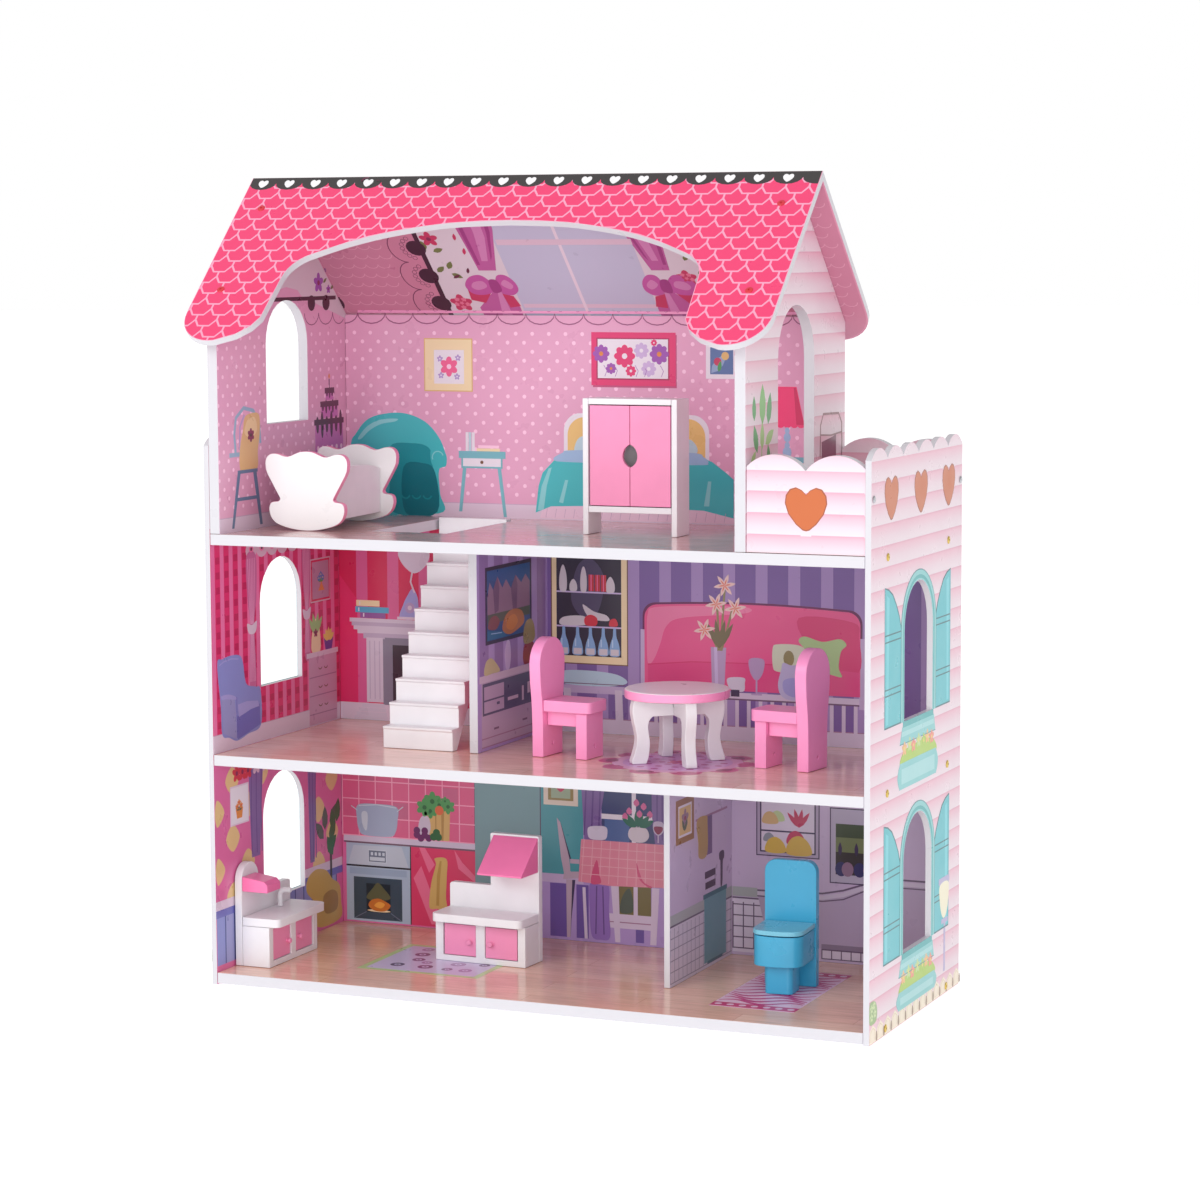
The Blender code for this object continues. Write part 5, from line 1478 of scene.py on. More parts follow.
def ground_left_side():
    """Pink paper with soft yellow lozenges, curtains, a plant, a picture and a sofa."""
    sheet = Print("ground_left_side_print", (LEFT_IN, FRONT, GROUND), Y, Z, GROUND_WINDOW)
    for row in range(6):
        for k in range(6):
            u = (5 if row % 2 else 31.5) + 53 * k
            v = 62 + 25.5 * row
            if u < 234 and v < 172 and (sheet.free(u, v, 13)):
                sheet.blob(0.6, "diamond", (max(u - 12, 0.6), v), (u, v + 12), (min(u + 12, 236), v),
                           (u, v - 12))
    for u0, u1, low in ((62, 88, 90), (171, 190, 66)):
        sheet.shape(2, "curtain_purple", [(u0 - 1, 177), (u1, 177), (u1 - 4, 140), (u1 - 8, low),
                                          (u0 + 3, low), (u0, 140)])
        for k in range(3):
            u = u0 + 4 + k * (u1 - u0 - 8) / 2
            sheet.line(3, "curtain_shade", 1.3, [(u, 175), (u - 1, 135), (u - 0.5, low + 3)])
    for u in (40, 50, 60):
        sheet.flower(3, "red", "wine", u, 169, 8)
    for u in (75, 92, 110, 128, 146, 164):
        sheet.flower(4, "voile_pale", "dark_brown", u, 171, 8)
    sheet.framed(3, "skirting", "skirting", 27.5, 123.5, 60.5, 158.5, 0.6)
    sheet.rect(5, "paper", 29, 125, 59, 157)
    bouquet(sheet, 6, 43, 136, 8, "orange", "rose_dark", "green_dusk")
    sheet.shape(6, "orange", [(39, 129), (48, 129), (50, 138), (37, 138)])
    sheet.paper(1, "skirting", 0, 53.5, 86.5, 61.5)
    sheet.paper(1, "skirting", 163.5, 53.5, 236.5, 61.5)
    for k in range(15):
        u0 = 1 + 16 * k
        if u0 + 12 < 236:
            sheet.paper(1, "peri_soft" if k % 2 else "peri", u0, 5, u0 + 15, 46.8)
            sheet.rect(1.6, "peri_deep", u0 + 14.2, 5, u0 + 16, 46.8)
    sheet.paper(1, "peri_dark", 0, 46.8, 86.5, 53.5)
    sheet.paper(1, "peri_dark", 163.5, 46.8, 236.5, 53.5)
    for u, v, turn in ((203, 92, 90), (212, 80, 60), (220, 88, 100), (208, 70, 40), (218, 66, 120),
                       (226, 96, 80), (214, 98, 45), (200, 84, 130)):
        sheet.leaf(4, "green_dusk" if turn % 20 else "green_dark", u, v, 22, turn, 0.5)
    sheet.rect(3, "dark_wood", 212, 40, 216, 80)
    sheet.blob(5, "mustard", (166, 40), (168, 52), (184, 58), (204, 54), (216, 44), (230, 36),
               (233, 20), (231, 4), (186, 4), (182, 26))
    sheet.blob(6, "mustard_dark", (198, 30), (214, 34), (226, 28), (224, 14), (202, 14))
    sheet.done()


def attic_right_inside():
    """Inner face of the right gable wall."""
    sheet = Print("attic_right_inside_print", (0.19185, FRONT, ATTIC), Y, Z, (120.5, 44.5, -1, 195),
                  flip=True)
    attic_pattern(sheet, 236, 172)
    sheet.done()


def mid_right_inside():
    """Inner face of the right wall, middle storey."""
    sheet = Print("mid_right_inside_print", (RIGHT_IN, FRONT, MIDDLE), Y, Z, MIDDLE_WINDOW, flip=True)
    stripes(sheet, 0.5, "stripe_purple", (0.5, 14, 236, STOREY - 0.5), 22, 30.3, 19.2)
    sheet.paper(1, "rail_light", 0.5, 0.3, 236, 13)
    sheet.done()


def ground_right_inside():
    """Inner face of the right wall, ground storey."""
    sheet = Print("ground_right_inside_print", (RIGHT_IN, FRONT, GROUND), Y, Z, GROUND_WINDOW, flip=True)
    sheet.paper(1, "rail_sage", 0.5, 38, 236, 46)
    grid(sheet, 1, "tile_line", (0.5, 3, 235, 36), 9.6, 0.9)
    sheet.done()


def partition_rears():
    """The sides of the two partitions that face the left rooms."""
    sheet = Print("mid_partition_rear_print", (-0.08565, INNER_EDGE, MIDDLE), Y, Z, flip=True)
    stripes(sheet, 0.5, "stripe_mid", (0.5, 16, 147.5, STOREY - 0.5), 12, 32, 11.5)
    sheet.rect(1, "skirting", 0.5, 0.3, 147.5, 16)
    sheet.done()
    sheet = Print("ground_partition_rear_print", (0.09475, INNER_EDGE, GROUND), Y, Z, flip=True)
    stripes(sheet, 0.5, "purple_band", (0.5, 3, 147.5, 52), 14, 24, 12)
    sheet.rect(1, "rail_lilac", 0.5, 52.5, 147.5, 60.5)
    sheet.rect(0.5, "teal_wall", 0.5, 60.5, 147.5, STOREY - 0.5)
    sheet.done()


# ---------------------------------------------------------------- outside

SIDING = 17.3                       # height of one siding board
SILLS = (57.7, 250.5)               # lower edges of the two outer windows
WINDOW_MIDDLE, WINDOW_HALF, WINDOW_SPRING = 125, 38.6, 74.25


def shutter(sheet, u0, u1, low, side):
    """Teal shutter with an arched top; side 1 has its tall edge on the left."""
    def at(points):
        middle = u0 + u1
        return points if side > 0 else [(middle - u, v) for u, v in points]
    width = u1 - u0
    top = ((0, 114), (0.22, 112), (0.45, 107), (0.65, 98), (0.82, 88), (0.95, 76), (1, 68))
    curve = [(u0 + width * share, low + v) for share, v in top]
    sheet.shape(2, "shutter", at([(u1, low), (u0, low)] + curve))
    sheet.shape(3, "shutter_light", at([(u0 + 4, low + 3), (u0 + 5, low + 108), (u0 + 12, low + 105),
                                        (u0 + 10, low + 3)]))
    sheet.line(4, "shutter_line", 1.2, at(curve))
    sheet.line(4, "shutter_line", 1.2, at([(u0, low + 0.6), (u1, low + 0.6)]))
    for v in (26.5, 31.5, 70, 75.5):
        sheet.line(4, "shutter_line", 1.1, at([(u0 + 1, low + v), (u1 - 0.5, low + v)]))
    sheet.line(4, "shutter_edge", 0.8, at([(u0 + 0.4, low), (u0 + 0.4, low + 114)]))
    sheet.line(4, "shutter_edge", 0.8, at([(u1 - 0.4, low), (u1 - 0.4, low + 70)]))


def window_frame(sheet, low):
    """Arched teal frame round the opening, with a sill and a bracket below it."""
    def arch(radius):
        middle = WINDOW_MIDDLE
        curve = arc(middle, low + WINDOW_SPRING, radius, 0, 180, 20)
        return [(middle + radius, low)] + curve + [(middle - radius, low)]

    for outer, inner, name in ((47, 43, "frame"), (43, 40, "frame_dark"), (40, WINDOW_HALF, "frame")):
        sheet.shape(5, name, arch(outer) + arch(inner)[::-1])
    sheet.line(6, "frame_edge", 0.8, arch(47.3))
    sheet.rect(6, "frame_dark", 84, low - 4.6, 166, low + 0.2)
    sheet.shape(5, "frame", [(76, low - 18), (172, low - 18), (168, low - 4), (82, low - 4)])
    sheet.line(6, "frame_edge", 0.8, [(76, low - 18), (172, low - 18)])
    sheet.rect(6, "frame_light", 80, low - 12, 168, low - 8)


def flower_box(sheet, u0, u1, low, high, bloom):
    """Planter with flowers under a window, from u0 to u1."""
    sheet.blob(5, "frame", (u0, (low + high) / 2), (u0 + 6, high - 1), (u0 + 14, high), (u1 - 14, high),
               (u1 - 6, high - 1), (u1, (low + high) / 2), (u1 - 5, low + 1), (u1 - 14, low),
               (u0 + 14, low), (u0 + 5, low + 1))
    sheet.rect(6, "frame_light", u0 + 10, low + 4, u1 - 10, high - 5)
    sheet.blob(4, "green_lime", (u0 + 8, high - 2), (u0 + 16, bloom - 8), (u0 + 34, bloom - 6),
               (u0 + 60, bloom - 5), (u1 - 26, bloom - 6), (u1 - 12, bloom - 9), (u1 - 6, high - 2),
               (u0 + 55, high - 4))
    blooms = ((18, "peach"), (32, "lime_soft"), (42, "coral"), (56, "lime_soft"), (70, "green_lime"),
              (80, "peach"), (92, "coral"))
    for k, (u, name) in enumerate(blooms):
        sheet.flower(6, name, "yellow", u0 + u, bloom - 6 + (k % 2) * 2, 6)


def siding_hearts(sheet):
    """Row of hearts under the scalloped top."""
    for u in (51, 129, 206):
        sheet.heart(3, "heart_edge", u, 437, 36)
        sheet.heart(4, "heart", u, 437, 33.6)


def lantern_and_fence(sheet):
    """Lantern on its post, a bush and the picket fence."""
    sheet.rect(3, "post_lilac", 200, 20, 204.5, 66)
    sheet.rect(5, "post_lilac", 185, 96.5, 215, 102)
    sheet.blob(5, "lantern", (188, 96), (189, 80), (194, 70), (200, 66.5), (207, 70), (212, 80), (212, 96))
    sheet.rect(5, "post_lilac", 193, 62, 211, 66)
    sheet.blob(4, "sage_bush", (1, 18), (1, 33), (8, 35), (16, 33), (20, 26), (18, 18), (10, 16))
    for u, v in ((6, 29), (12, 31), (14, 24), (6, 22)):
        sheet.flower(5, "green_pale", "sage_bush", u, v, 3.6)
    sheet.rect(1, "fence_ground", 1, 0.6, 244, 8)
    for k in range(13):
        u0 = 1.5 + 19 * k
        sheet.shape(2, "fence", [(u0, 0.6), (u0 + 15.6, 0.6), (u0 + 15.6, 11), (u0 + 7.8, 15.5), (u0, 11)])
        sheet.line(3, "fence_edge", 0.6, [(u0 + 2.5, 2.5), (u0 + 2.5, 10.2), (u0 + 7.8, 13),
                                          (u0 + 13.1, 10.2), (u0 + 13.1, 2.5)])
        sheet.blob(3, "fence_gap", (u0 + 15.6, 1.5), (u0 + 15.4, 6), (u0 + 17.4, 9), (u0 + 19.2, 6),
                   (u0 + 19, 1.5))


def siding_line(sheet, height, *spans):
    """Shadow line between two siding boards, over the given spans."""
    for start, end in spans:
        sheet.rect(0.3, "siding_line", start, height - 0.5, end, height + 0.5)


def outer_wall(name, corner, flip):
    """Outside of a side wall: siding, shuttered windows, hearts and fence."""
    sheet = Print(name, corner, Y, Z, slot="printed_siding_board", flip=flip)
    first, last = 0.6, 244.4
    for row in range(24):
        height = 18 + SIDING * row
        if height > 424:
            continue
        spans = [(first, last)]
        for low in SILLS:
            if low - 1 < height < low + WINDOW_SPRING + WINDOW_HALF - 0.35:
                rise = max(0, height - low - WINDOW_SPRING)
                reach = math.sqrt(max(0, WINDOW_HALF ** 2 - rise ** 2))
                spans = [(first, WINDOW_MIDDLE - reach), (WINDOW_MIDDLE + reach, last)]
        siding_line(sheet, height, *spans)
    for height in (433.2, 450.5):
        siding_line(sheet, height, (first, 33), (69, 111), (147, 188), (224, last))
    siding_hearts(sheet)
    for low, box in zip(SILLS, ((12, 27, 44), (195.5, 217, 234))):
        shutter(sheet, 35, 81, low, 1)
        shutter(sheet, 168, 213, low, -1)
        window_frame(sheet, low)
        flower_box(sheet, 70, 180, *box)
    lantern_and_fence(sheet)
    sheet.done()


def gable_siding(sheet, middle, half, low, top):
    """Lines of the siding on a gable, interrupted by an arched opening."""
    for k in range(16):
        v = 13.5 + 17.25 * k
        reach = min((GABLE_TOP - v) / GABLE_SLOPE - 3, 122)
        if reach < 8:
            continue
        a, b = GABLE_MIDDLE - reach, GABLE_MIDDLE + reach
        if low < v < top:
            rise = max(0.0, v - (top - half))
            gap = math.sqrt(half * half - rise * rise) + 0.6
            sheet.rect(0.3, "siding_line", a, v, middle - gap, v + 0.9)
            sheet.rect(0.3, "siding_line", middle + gap, v, b, v + 0.9)
        else:
            sheet.rect(0.3, "siding_line", a, v, b, v + 0.9)


def attic_left_outside():
    """Siding on the left gable."""
    sheet = Print("attic_left_outside_print", (-0.28785, FRONT, ATTIC), Y, Z,
                  slot="printed_siding_board", flip=True)
    gable_siding(sheet, 125, 38.25, 90, 197.5)
    sheet.done()


def attic_right_outside():
    """Siding, a climbing plant and a garden chair beside the doorway."""
    sheet = Print("attic_right_outside_print", (0.20135, FRONT, ATTIC), Y, Z,
                  slot="printed_siding_board")
    gable_siding(sheet, 120.5, 44.5, -1, 195)
    for u, v, length, turn, name in ((20, 104, 20, 92, "green"), (39, 100, 33, 90, "green_mid"),
                                     (52, 100, 26, 78, "green"), (27, 78, 24, 108, "green"),
                                     (38, 80, 22, 88, "green_light"), (46, 84, 22, 30, "green_light"),
                                     (55, 66, 18, 100, "green"), (12, 66, 18, 50, "green_light")):
        sheet.leaf(3, name, u, v, length, turn, 0.42)
    sheet.line(2, "green_light", 1.4, [(36, 40), (37, 70), (38, 104)])
    chair = [(180, 65), (181, 92), (188, 101.5), (228, 100.5), (236, 92), (237, 65)]
    sheet.line(3, "chair_brown", 2.0, chair)
    sheet.line(3.5, "chair_brown", 1.4, [(182, 84), (208, 82.5), (236, 84)])
    sheet.shape(3, "maroon_soft", [(184, 64), (184, 78), (212, 81), (221, 83), (221, 64)])
    sheet.rect(3, "chair_brown", 180, 62, 238, 64)
    for u in (184, 232):
        sheet.rect(3, "chair_brown", u, 20, u + 3, 62)
    sheet.done()


def parapet(name, corner, flip):
    """Siding and a heart on a terrace parapet."""
    sheet = Print(name, corner, X, Z, slot="printed_siding_board", flip=flip)
    for v in (14.5, 31.8, 49.1):
        gap = 18 * (1 - abs(v - 40) / 34)
        for a, b in ((0.8, 50.5 - gap), (50.5 + gap, 99.2)):
            sheet.rect(0.3, "siding_line", a, v, b, v + 0.9)
    sheet.heart(3, "heart_edge", 50.5, 37, 35.6)
    sheet.heart(4, "heart", 50.5, 37, 33.6)
    sheet.done()


# ---------------------------------------------------------------- floors

def ground_rugs():
    """Kitchen rug and zebra bath rug."""
    sheet = Print("ground_rug_print", (LEFT_IN, FRONT, GROUND), X, Y, slot="plank_floor")
    sheet.rect(1, "lime_soft", 104, 62, 220, 168)
    sheet.rect(2, "rug", 110, 68, 214, 162)
    for u, v, radius, name in ((131, 88, 6.5, "plum_dark"), (158, 88, 7, "plum"), (180, 86, 5, "plum"),
                               (197, 87, 6, "plum_soft"), (181, 107, 7, "plum_soft"),
                               (152, 104, 5, "plum_soft"), (140, 112, 6, "plum"), (134, 132, 7, "plum"),
                               (130, 152, 6, "plum_soft"), (160, 130, 6, "plum"), (204, 112, 5, "plum"),
                               (186, 132, 6, "plum"), (206, 146, 6, "plum_dark"),
                               (160, 152, 6, "plum")):
        sheet.disc(3, name, u, v, radius)
        sheet.disc(4, "rug", u, v, radius * 0.45)
        sheet.disc(5, name, u, v, radius * 0.2)
    sheet.rect(1, "zebra_light", 440, 45, 515, 195)
    for k in range(13):
        v = 68 + 9.0 * k
        wave = [(441 + 6 * i, v + 5.5 * math.sin(0.75 * i + 0.9 * k) + 0.35 * i) for i in range(13)]
        under = [(u, min(w - 1.8 - 3.6 * math.sin(math.pi * (u - 441) / 74), 180)) for u,
                 w in reversed(wave)]
        sheet.shape(2, "zebra", [(u, min(w, 180.5)) for u, w in wave] + under)
    for low in (47, 181):
        sheet.rect(3, "rug_wine", 440, low, 515, low + 13)
        for k in range(7):
            sheet.disc(4, "zebra_light", 445.5 + 10.7 * k, low + 6.5, 3.2)
    sheet.done()


def middle_rug():
    """Round flower rug under the table."""
    sheet = Print("middle_rug_print", (LEFT_IN, FRONT, MIDDLE), X, Y, slot="plank_floor")
    for k in range(10):
        angle = math.radians(36 * k + 10)
        sheet.disc(1, "rug_rose", 388 + 55 * math.cos(angle), 108 + 53 * math.sin(angle), 14)
        sheet.disc(3, "rug_dark" if k % 2 else "rug_rose", 388 + 57 * math.cos(angle),
                   108 + 55 * math.sin(angle), 8.5, 5.5, 36 * k + 100, 10)
    sheet.disc(2, "rug_pink", 388, 108, 56, 54, steps=40)
    sheet.disc(3, "rug_lilac", 388, 108, 47, 45, steps=40)
    for ring, count in ((12, 6), (24, 11), (36, 16)):
        for k in range(count):
            angle = math.radians(360 * k / count + ring)
            sheet.disc(4, "rug_dot", 388 + ring * 1.1 * math.cos(angle),
                       108 + ring * 1.06 * math.sin(angle), 3.4, 2.8)
    sheet.flower(4, "rug_rose", "rug_dot", 388, 108, 9, 6)
    sheet.done()


# ---------------------------------------------------------------- edges of the CAD boards

def clean_shading():
    """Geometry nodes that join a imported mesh's loose triangles and shade it by angle."""
    group = bpy.data.node_groups.new("clean_shading", "GeometryNodeTree")
    group.interface.new_socket("Geometry", in_out="INPUT", socket_type="NodeSocketGeometry")
    group.interface.new_socket("Geometry", in_out="OUTPUT", socket_type="NodeSocketGeometry")
    start = group.nodes.new("NodeGroupInput")
    drop = group.nodes.new("GeometryNodeRemoveAttribute")
    drop.inputs["Name"].default_value = "custom_normal"
    weld = group.nodes.new("GeometryNodeMergeByDistance")
    weld.inputs["Distance"].default_value = 0.00001
    angle = group.nodes.new("GeometryNodeInputMeshEdgeAngle")
    sharp = group.nodes.new("FunctionNodeCompare")
    sharp.operation = "LESS_THAN"
    sharp.inputs[1].default_value = CREASE
    smooth = group.nodes.new("GeometryNodeSetShadeSmooth")
    smooth.domain = "EDGE"
    faces = group.nodes.new("GeometryNodeSetShadeSmooth")
    faces.domain = "FACE"
    end = group.nodes.new("NodeGroupOutput")
    link = group.links.new
    link(start.outputs[0], drop.inputs["Geometry"])
    link(drop.outputs[0], weld.inputs["Geometry"])
    link(weld.outputs[0], faces.inputs["Geometry"])
    link(faces.outputs[0], smooth.inputs["Geometry"])
    link(angle.outputs["Unsigned Angle"], sharp.inputs[0])
    link(sharp.outputs[0], smooth.inputs["Shade Smooth"])
    link(smooth.outputs[0], end.inputs[0])
    return group


CLEAN = clean_shading()


def soften(node, width=0.0005, segments=2):
    """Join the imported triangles, merge flat ones and round every sharp edge a little.

    Doors and cabinets keep their triangles: merged ones left a hole in the sink's cabinet.
    """
    obj = NODES[node]
    obj.modifiers.new("clean", "NODES").node_group = CLEAN
    if "door_" not in node and "cabinet" not in node:
        flat = obj.modifiers.new("flat", "DECIMATE")
        flat.decimate_type = "DISSOLVE"
        flat.angle_limit = math.radians(0.4)
    rounded = obj.modifiers.new("round", "BEVEL")
    rounded.width = width
    rounded.segments = segments
    rounded.limit_method = "ANGLE"
    rounded.angle_limit = CREASE
    rounded.harden_normals = True
    rounded.miter_outer = "MITER_ARC"


def paint(material, *names):
    """Give the named nodes one material."""
    for name in names:
        NODES[name].data.materials.clear()
        NODES[name].data.materials.append(material)


def dress_boards():
    """Every CAD node gets its material and its rounded edges."""
    white = white_board()
    plain = (243, 242, 243)
    terrace = clapboard(0.4076)
    pink = painted("pink_paint", (246, 122, 176))
    chairs = painted("chair_pink", (255, 156, 206))
    ends = broad_side("cradle_end_front")
    cradle_end = printed_board("cradle_end_paint", ends, plain, plain, (250, 150, 190))
    door_pink = painted("door_pink", (244, 148, 190))
    blue = painted("blue_paint", (60, 172, 212), 0.30, 0.2)
    pale_blue = painted("pale_blue_paint", (118, 198, 222), 0.30, 0.2)
    steel = metal("screw_steel", (200, 200, 205))
    attic_pink = (232, 170, 202)
    hot_pink, stripe_lilac = (226, 48, 112), (170, 142, 196)
    rose, bath = (226, 112, 166), (206, 184, 214)
    table_white = (255, 240, 246)
    roof_pink = (246, 166, 196)
    boards = {
        "base_floor": plank_floor("base_planks", (255, 210, 184), (246, 192, 168), (216, 156, 136)),
        "second_floor": plank_floor("second_planks", (255, 216, 200), (246, 196, 182), (222, 164, 152)),
        "third_floor": plank_floor("third_planks", (230, 192, 188), (216, 176, 172), (190, 148, 146)),
        "left_wall": printed_board("left_wall_board", X, rooms(rose, hot_pink), clapboard(0.018)),
        "right_wall": printed_board("right_wall_board", X, clapboard(0.018), rooms(bath, stripe_lilac)),
        "attic_left_wall": printed_board("attic_left_board", X, attic_pink, clapboard(0.4066)),
        "attic_right_wall": printed_board("attic_right_board", X, clapboard(0.4066), attic_pink),
        "middle_partition": printed_board("middle_partition_board", X, (178, 150, 205), hot_pink),
        "ground_partition": printed_board("ground_partition_board", X, bath, (180, 152, 208)),
        "ground_back_panel": printed_board("ground_back_board", -Y, rose),
        "middle_back_panel": printed_board("middle_back_board", -Y, stripe_lilac),
        "attic_back_panel": printed_board("attic_back_board", -Y, attic_pink),
        "terrace_front_parapet": printed_board("front_parapet_board", -Y, terrace, terrace),
        "terrace_rear_parapet": printed_board("rear_parapet_board", -Y, terrace, terrace),
        "front_roof": printed_board("front_roof_board", (0, -SIN, COS), roof_pink, (236, 196, 214)),
        "rear_roof": printed_board("rear_roof_board", (0, SIN, COS), roof_pink, (222, 150, 176)),
        "stove_hood": pink, "sink_dispenser": pink,
        "table_top": printed_board("table_top_paint", Z, table_white, table_white, (255, 158, 204)),
        "cradle_end_front": cradle_end, "cradle_end_rear": cradle_end,
        "toilet_back": blue, "toilet_pedestal": blue, "toilet_bowl": blue, "toilet_lid": pale_blue,
        "parapet_screw_front": steel, "parapet_screw_rear": steel,
        "wardrobe_door_left": door_pink, "wardrobe_door_right": door_pink,
        "stove_door_left": door_pink, "stove_door_right": door_pink,
        "sink_door_left": door_pink, "sink_door_right": door_pink,
    }
    for name in NODES:
        if name.startswith("chair_"):
            boards[name] = chairs
        paint(boards.get(name, white), name)
        if "screw" in name:
            soften(name, 0.0003)
        elif "chair" in name or "table" in name:
            soften(name, 0.0007)
        else:
            soften(name, 0.0005)


def screw(name, centre, out, material, radius=0.0033):
    """Low domed head with a cross recess."""
    rings = ((1.0, 0.0), (1.0, 0.35), (0.86, 0.62), (0.62, 0.78), (0.34, 0.84))
    rise = 0.0011
    side = Vector(out).orthogonal().normalized()
    across = Vector(out).cross(side)
    points, faces = [], []
    for share, height in rings:
        for k in range(24):
            angle = math.radians(15 * k)
            spread = side * math.cos(angle) + across * math.sin(angle)
            points.append(Vector(centre) + spread * radius * share + Vector(out) * rise * height)
    for ring in range(len(rings) - 1):
        for k in range(24):
            a, b = 24 * ring + k, 24 * ring + (k + 1) % 24
            faces.append((a, b, b + 24, a + 24))
    start = len(points)
    reach = (0.30, 0.09)
    for k in range(12):
        arm, part = divmod(k, 3)
        angle = math.radians(90 * arm)
        along, wide = ((reach[0], -reach[1]), (reach[0], reach[1]), (reach[1], reach[1]))[part]
        u = along * math.cos(angle) - wide * math.sin(angle)
        v = along * math.sin(angle) + wide * math.cos(angle)
        points.append(Vector(centre) + (side * u + across * v) * radius + Vector(out) * rise * 0.85)
    top = list(range(24 * (len(rings) - 1), 24 * len(rings)))
    for arm in range(4):
        tips = (start + 3 * arm, start + 3 * arm + 1)
        inner = start + 3 * arm + 2
        first = 6 * arm
        faces.append((top[(first - 1) % 24], top[first], top[(first + 1) % 24], tips[1], tips[0]))
        faces.append(tuple([top[first + i] for i in range(1, 5)] + [top[(first + 5) % 24]] + [
            start + 3 * ((arm + 1) % 4), inner, tips[1]]))
    low = len(points)
    for k in range(12):
        points.append(points[start + k] - Vector(out) * rise * 0.6)
    for arm in range(4):
        loop = [3 * ((arm - 1) % 4) + 2, 3 * arm, 3 * arm + 1, 3 * arm + 2]
        for a, b in zip(loop, loop[1:]):
            faces.append((start + a, start + b, low + b, low + a))
    faces.append(tuple(low + k for k in range(12)))
    faces.append(tuple(range(23, -1, -1)))
    mesh = bpy.data.meshes.new(name)
    mesh.from_pydata(points, [], faces)
    mesh.materials.append(material)
    obj = bpy.data.objects.new(name, mesh)
    bpy.context.scene.collection.objects.link(obj)
    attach(obj, "house")


def screws():
    """Brass heads in both side walls at the floors, red ones in the front roof board."""
    brass = metal("screw_brass", (226, 196, 96), 0.25)
    red = painted("screw_red", (214, 44, 60))
    spots = ((-0.0800, 0.3892), (0.0840, 0.3892), (-0.0790, 0.1980), (0.0845, 0.1980), (-0.0808, 0.0057),
             (0.0850, 0.0057))
    for k, (y, z) in enumerate(spots):
        screw(f"right_wall_screw_{k + 1}", (0.30686, y, z), X, brass)
        screw(f"left_wall_screw_{k + 1}", (-0.29316, y, z), -X, brass)
    slope, out = Vector((0, COS, SIN)), Vector((0, -SIN, COS))
    for k, (u, v) in enumerate(((23, 161), (22, 61), (505, 161.5), (504, 61))):
        centre = Vector((ROOF_X0, -RUN * COS, RIDGE - RUN * SIN)) + X * u * MM + slope * v * MM
        screw(f"roof_screw_{k + 1}", centre, out, red, 0.0034)


def prints():
    """Every printed picture, room by room, and the outside."""
    roof_prints()
    attic_back()
    attic_left()
    attic_right_inside()
    mid_left_side()
    mid_left_back()
    mid_partition()
    mid_right_back()
    mid_right_inside()
    kitchen_back()
    ground_partition()
    bath_back()
    ground_left_side()
    ground_right_inside()
    partition_rears()
    outer_wall("right_outside_print", (RIGHT_OUT, FRONT, 0), False)
    outer_wall("left_outside_print", (LEFT_OUT, FRONT, 0), True)
    attic_right_outside()
    attic_left_outside()
    parapet("front_parapet_print", (0.2016, -0.1215, ATTIC), False)
    parapet("rear_parapet_print", (0.2016, 0.1215, ATTIC), True)
    ground_rugs()
    middle_rug()


# ---------------------------------------------------------------- stage, light and camera

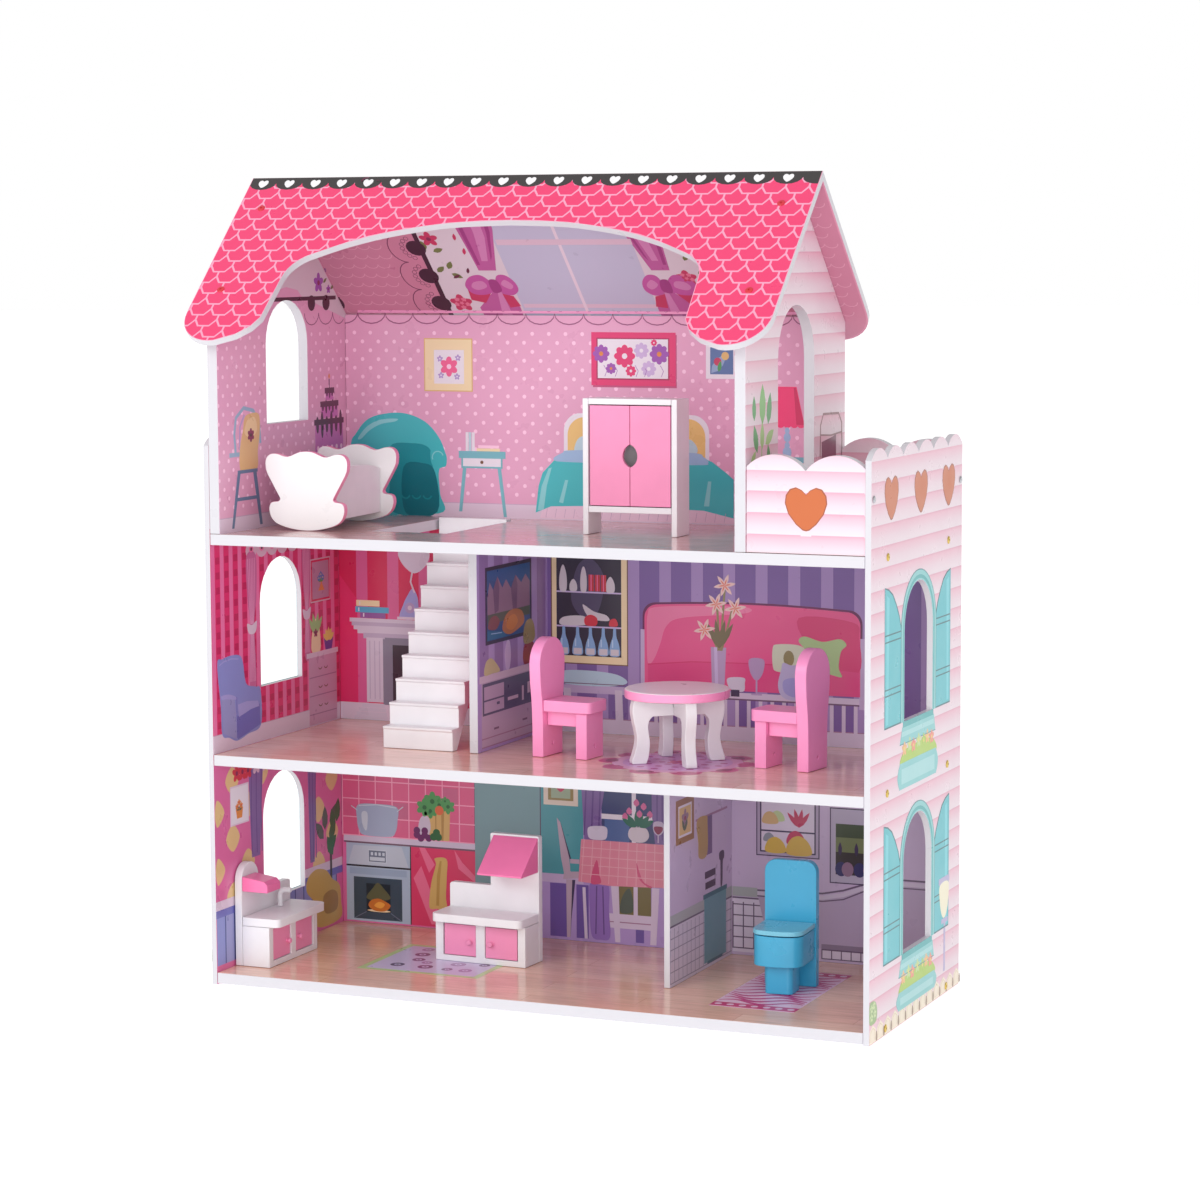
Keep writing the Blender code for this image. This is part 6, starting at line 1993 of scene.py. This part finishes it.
def stage():
    """Pale floor, and a surrounding that looks white but lights the house a little less."""
    floor_material = Tree("studio_floor")
    tone = floor_material.ramp(floor_material.noise(0.5), (0.3, 0.90), (0.7, 0.93))
    floor_material.surface(tone, 0.6)
    floor_material.shader.inputs["Emission Color"].default_value = (1, 1, 1, 1)
    floor_material.shader.inputs["Emission Strength"].default_value = 0.5
    bpy.ops.mesh.primitive_circle_add(vertices=96, radius=30, fill_type="NGON", location=(0, 0, -0.0002))
    floor = bpy.context.object
    floor.name = "studio_floor"
    floor.data.materials.append(floor_material.material)
    world = bpy.data.worlds.new("studio")
    world.use_nodes = True
    backdrop = world.node_tree.nodes["Background"]
    backdrop.inputs["Color"].default_value = (1, 1, 1, 1)
    rays = world.node_tree.nodes.new("ShaderNodeLightPath")
    level = world.node_tree.nodes.new("ShaderNodeMapRange")
    level.inputs["To Min"].default_value = 0.67
    level.inputs["To Max"].default_value = 1.0
    world.node_tree.links.new(rays.outputs["Is Camera Ray"], level.inputs["Value"])
    world.node_tree.links.new(level.outputs["Result"], backdrop.inputs["Strength"])
    bpy.context.scene.world = world
    bpy.context.scene.view_settings.view_transform = "Standard"


def softbox(name, place, target, size, power):
    """Large soft light aimed at a target."""
    data = bpy.data.lights.new(name, "AREA")
    data.shape = "RECTANGLE"
    data.size, data.size_y = size
    data.energy = power
    light = bpy.data.objects.new(name, data)
    bpy.context.scene.collection.objects.link(light)
    light.location = place
    light.rotation_euler = (Vector(target) - Vector(place)).to_track_quat("-Z", "Y").to_euler()


def lights():
    """Two soft lights in front, one high on the left and one low on the right."""
    softbox("key", (-1.0, -2.6, 1.9), (0, 0, 0.35), (1.6, 1.4), 25)
    softbox("front", (1.3, -2.7, 0.75), (0, 0, 0.3), (2.0, 1.4), 22)


def camera():
    """At the view's own angle: azimuth, pitch down and roll in degrees."""
    azimuth, pitch, roll = (math.radians(value) for value in (23.0507, 6.17157, -0.249123))
    forward = Vector((-math.sin(azimuth) * math.cos(pitch), math.cos(azimuth) * math.cos(pitch),
                      -math.sin(pitch)))
    right = Vector((math.cos(azimuth), math.sin(azimuth), 0))
    up = right.cross(forward)
    tilted_right = math.cos(roll) * right + math.sin(roll) * up
    tilted_up = -math.sin(roll) * right + math.cos(roll) * up
    data = bpy.data.cameras.new("camera")
    data.sensor_width = 36.0
    data.lens = 99.07
    obj = bpy.data.objects.new("camera", data)
    bpy.context.scene.collection.objects.link(obj)
    turn = Matrix((tilted_right, tilted_up, -forward)).transposed().to_4x4()
    obj.matrix_world = Matrix.Translation((1.12281, -2.58518, 0.63966)) @ turn
    bpy.context.scene.camera = obj


dress_boards()
prints()
screws()
stage()
lights()
camera()
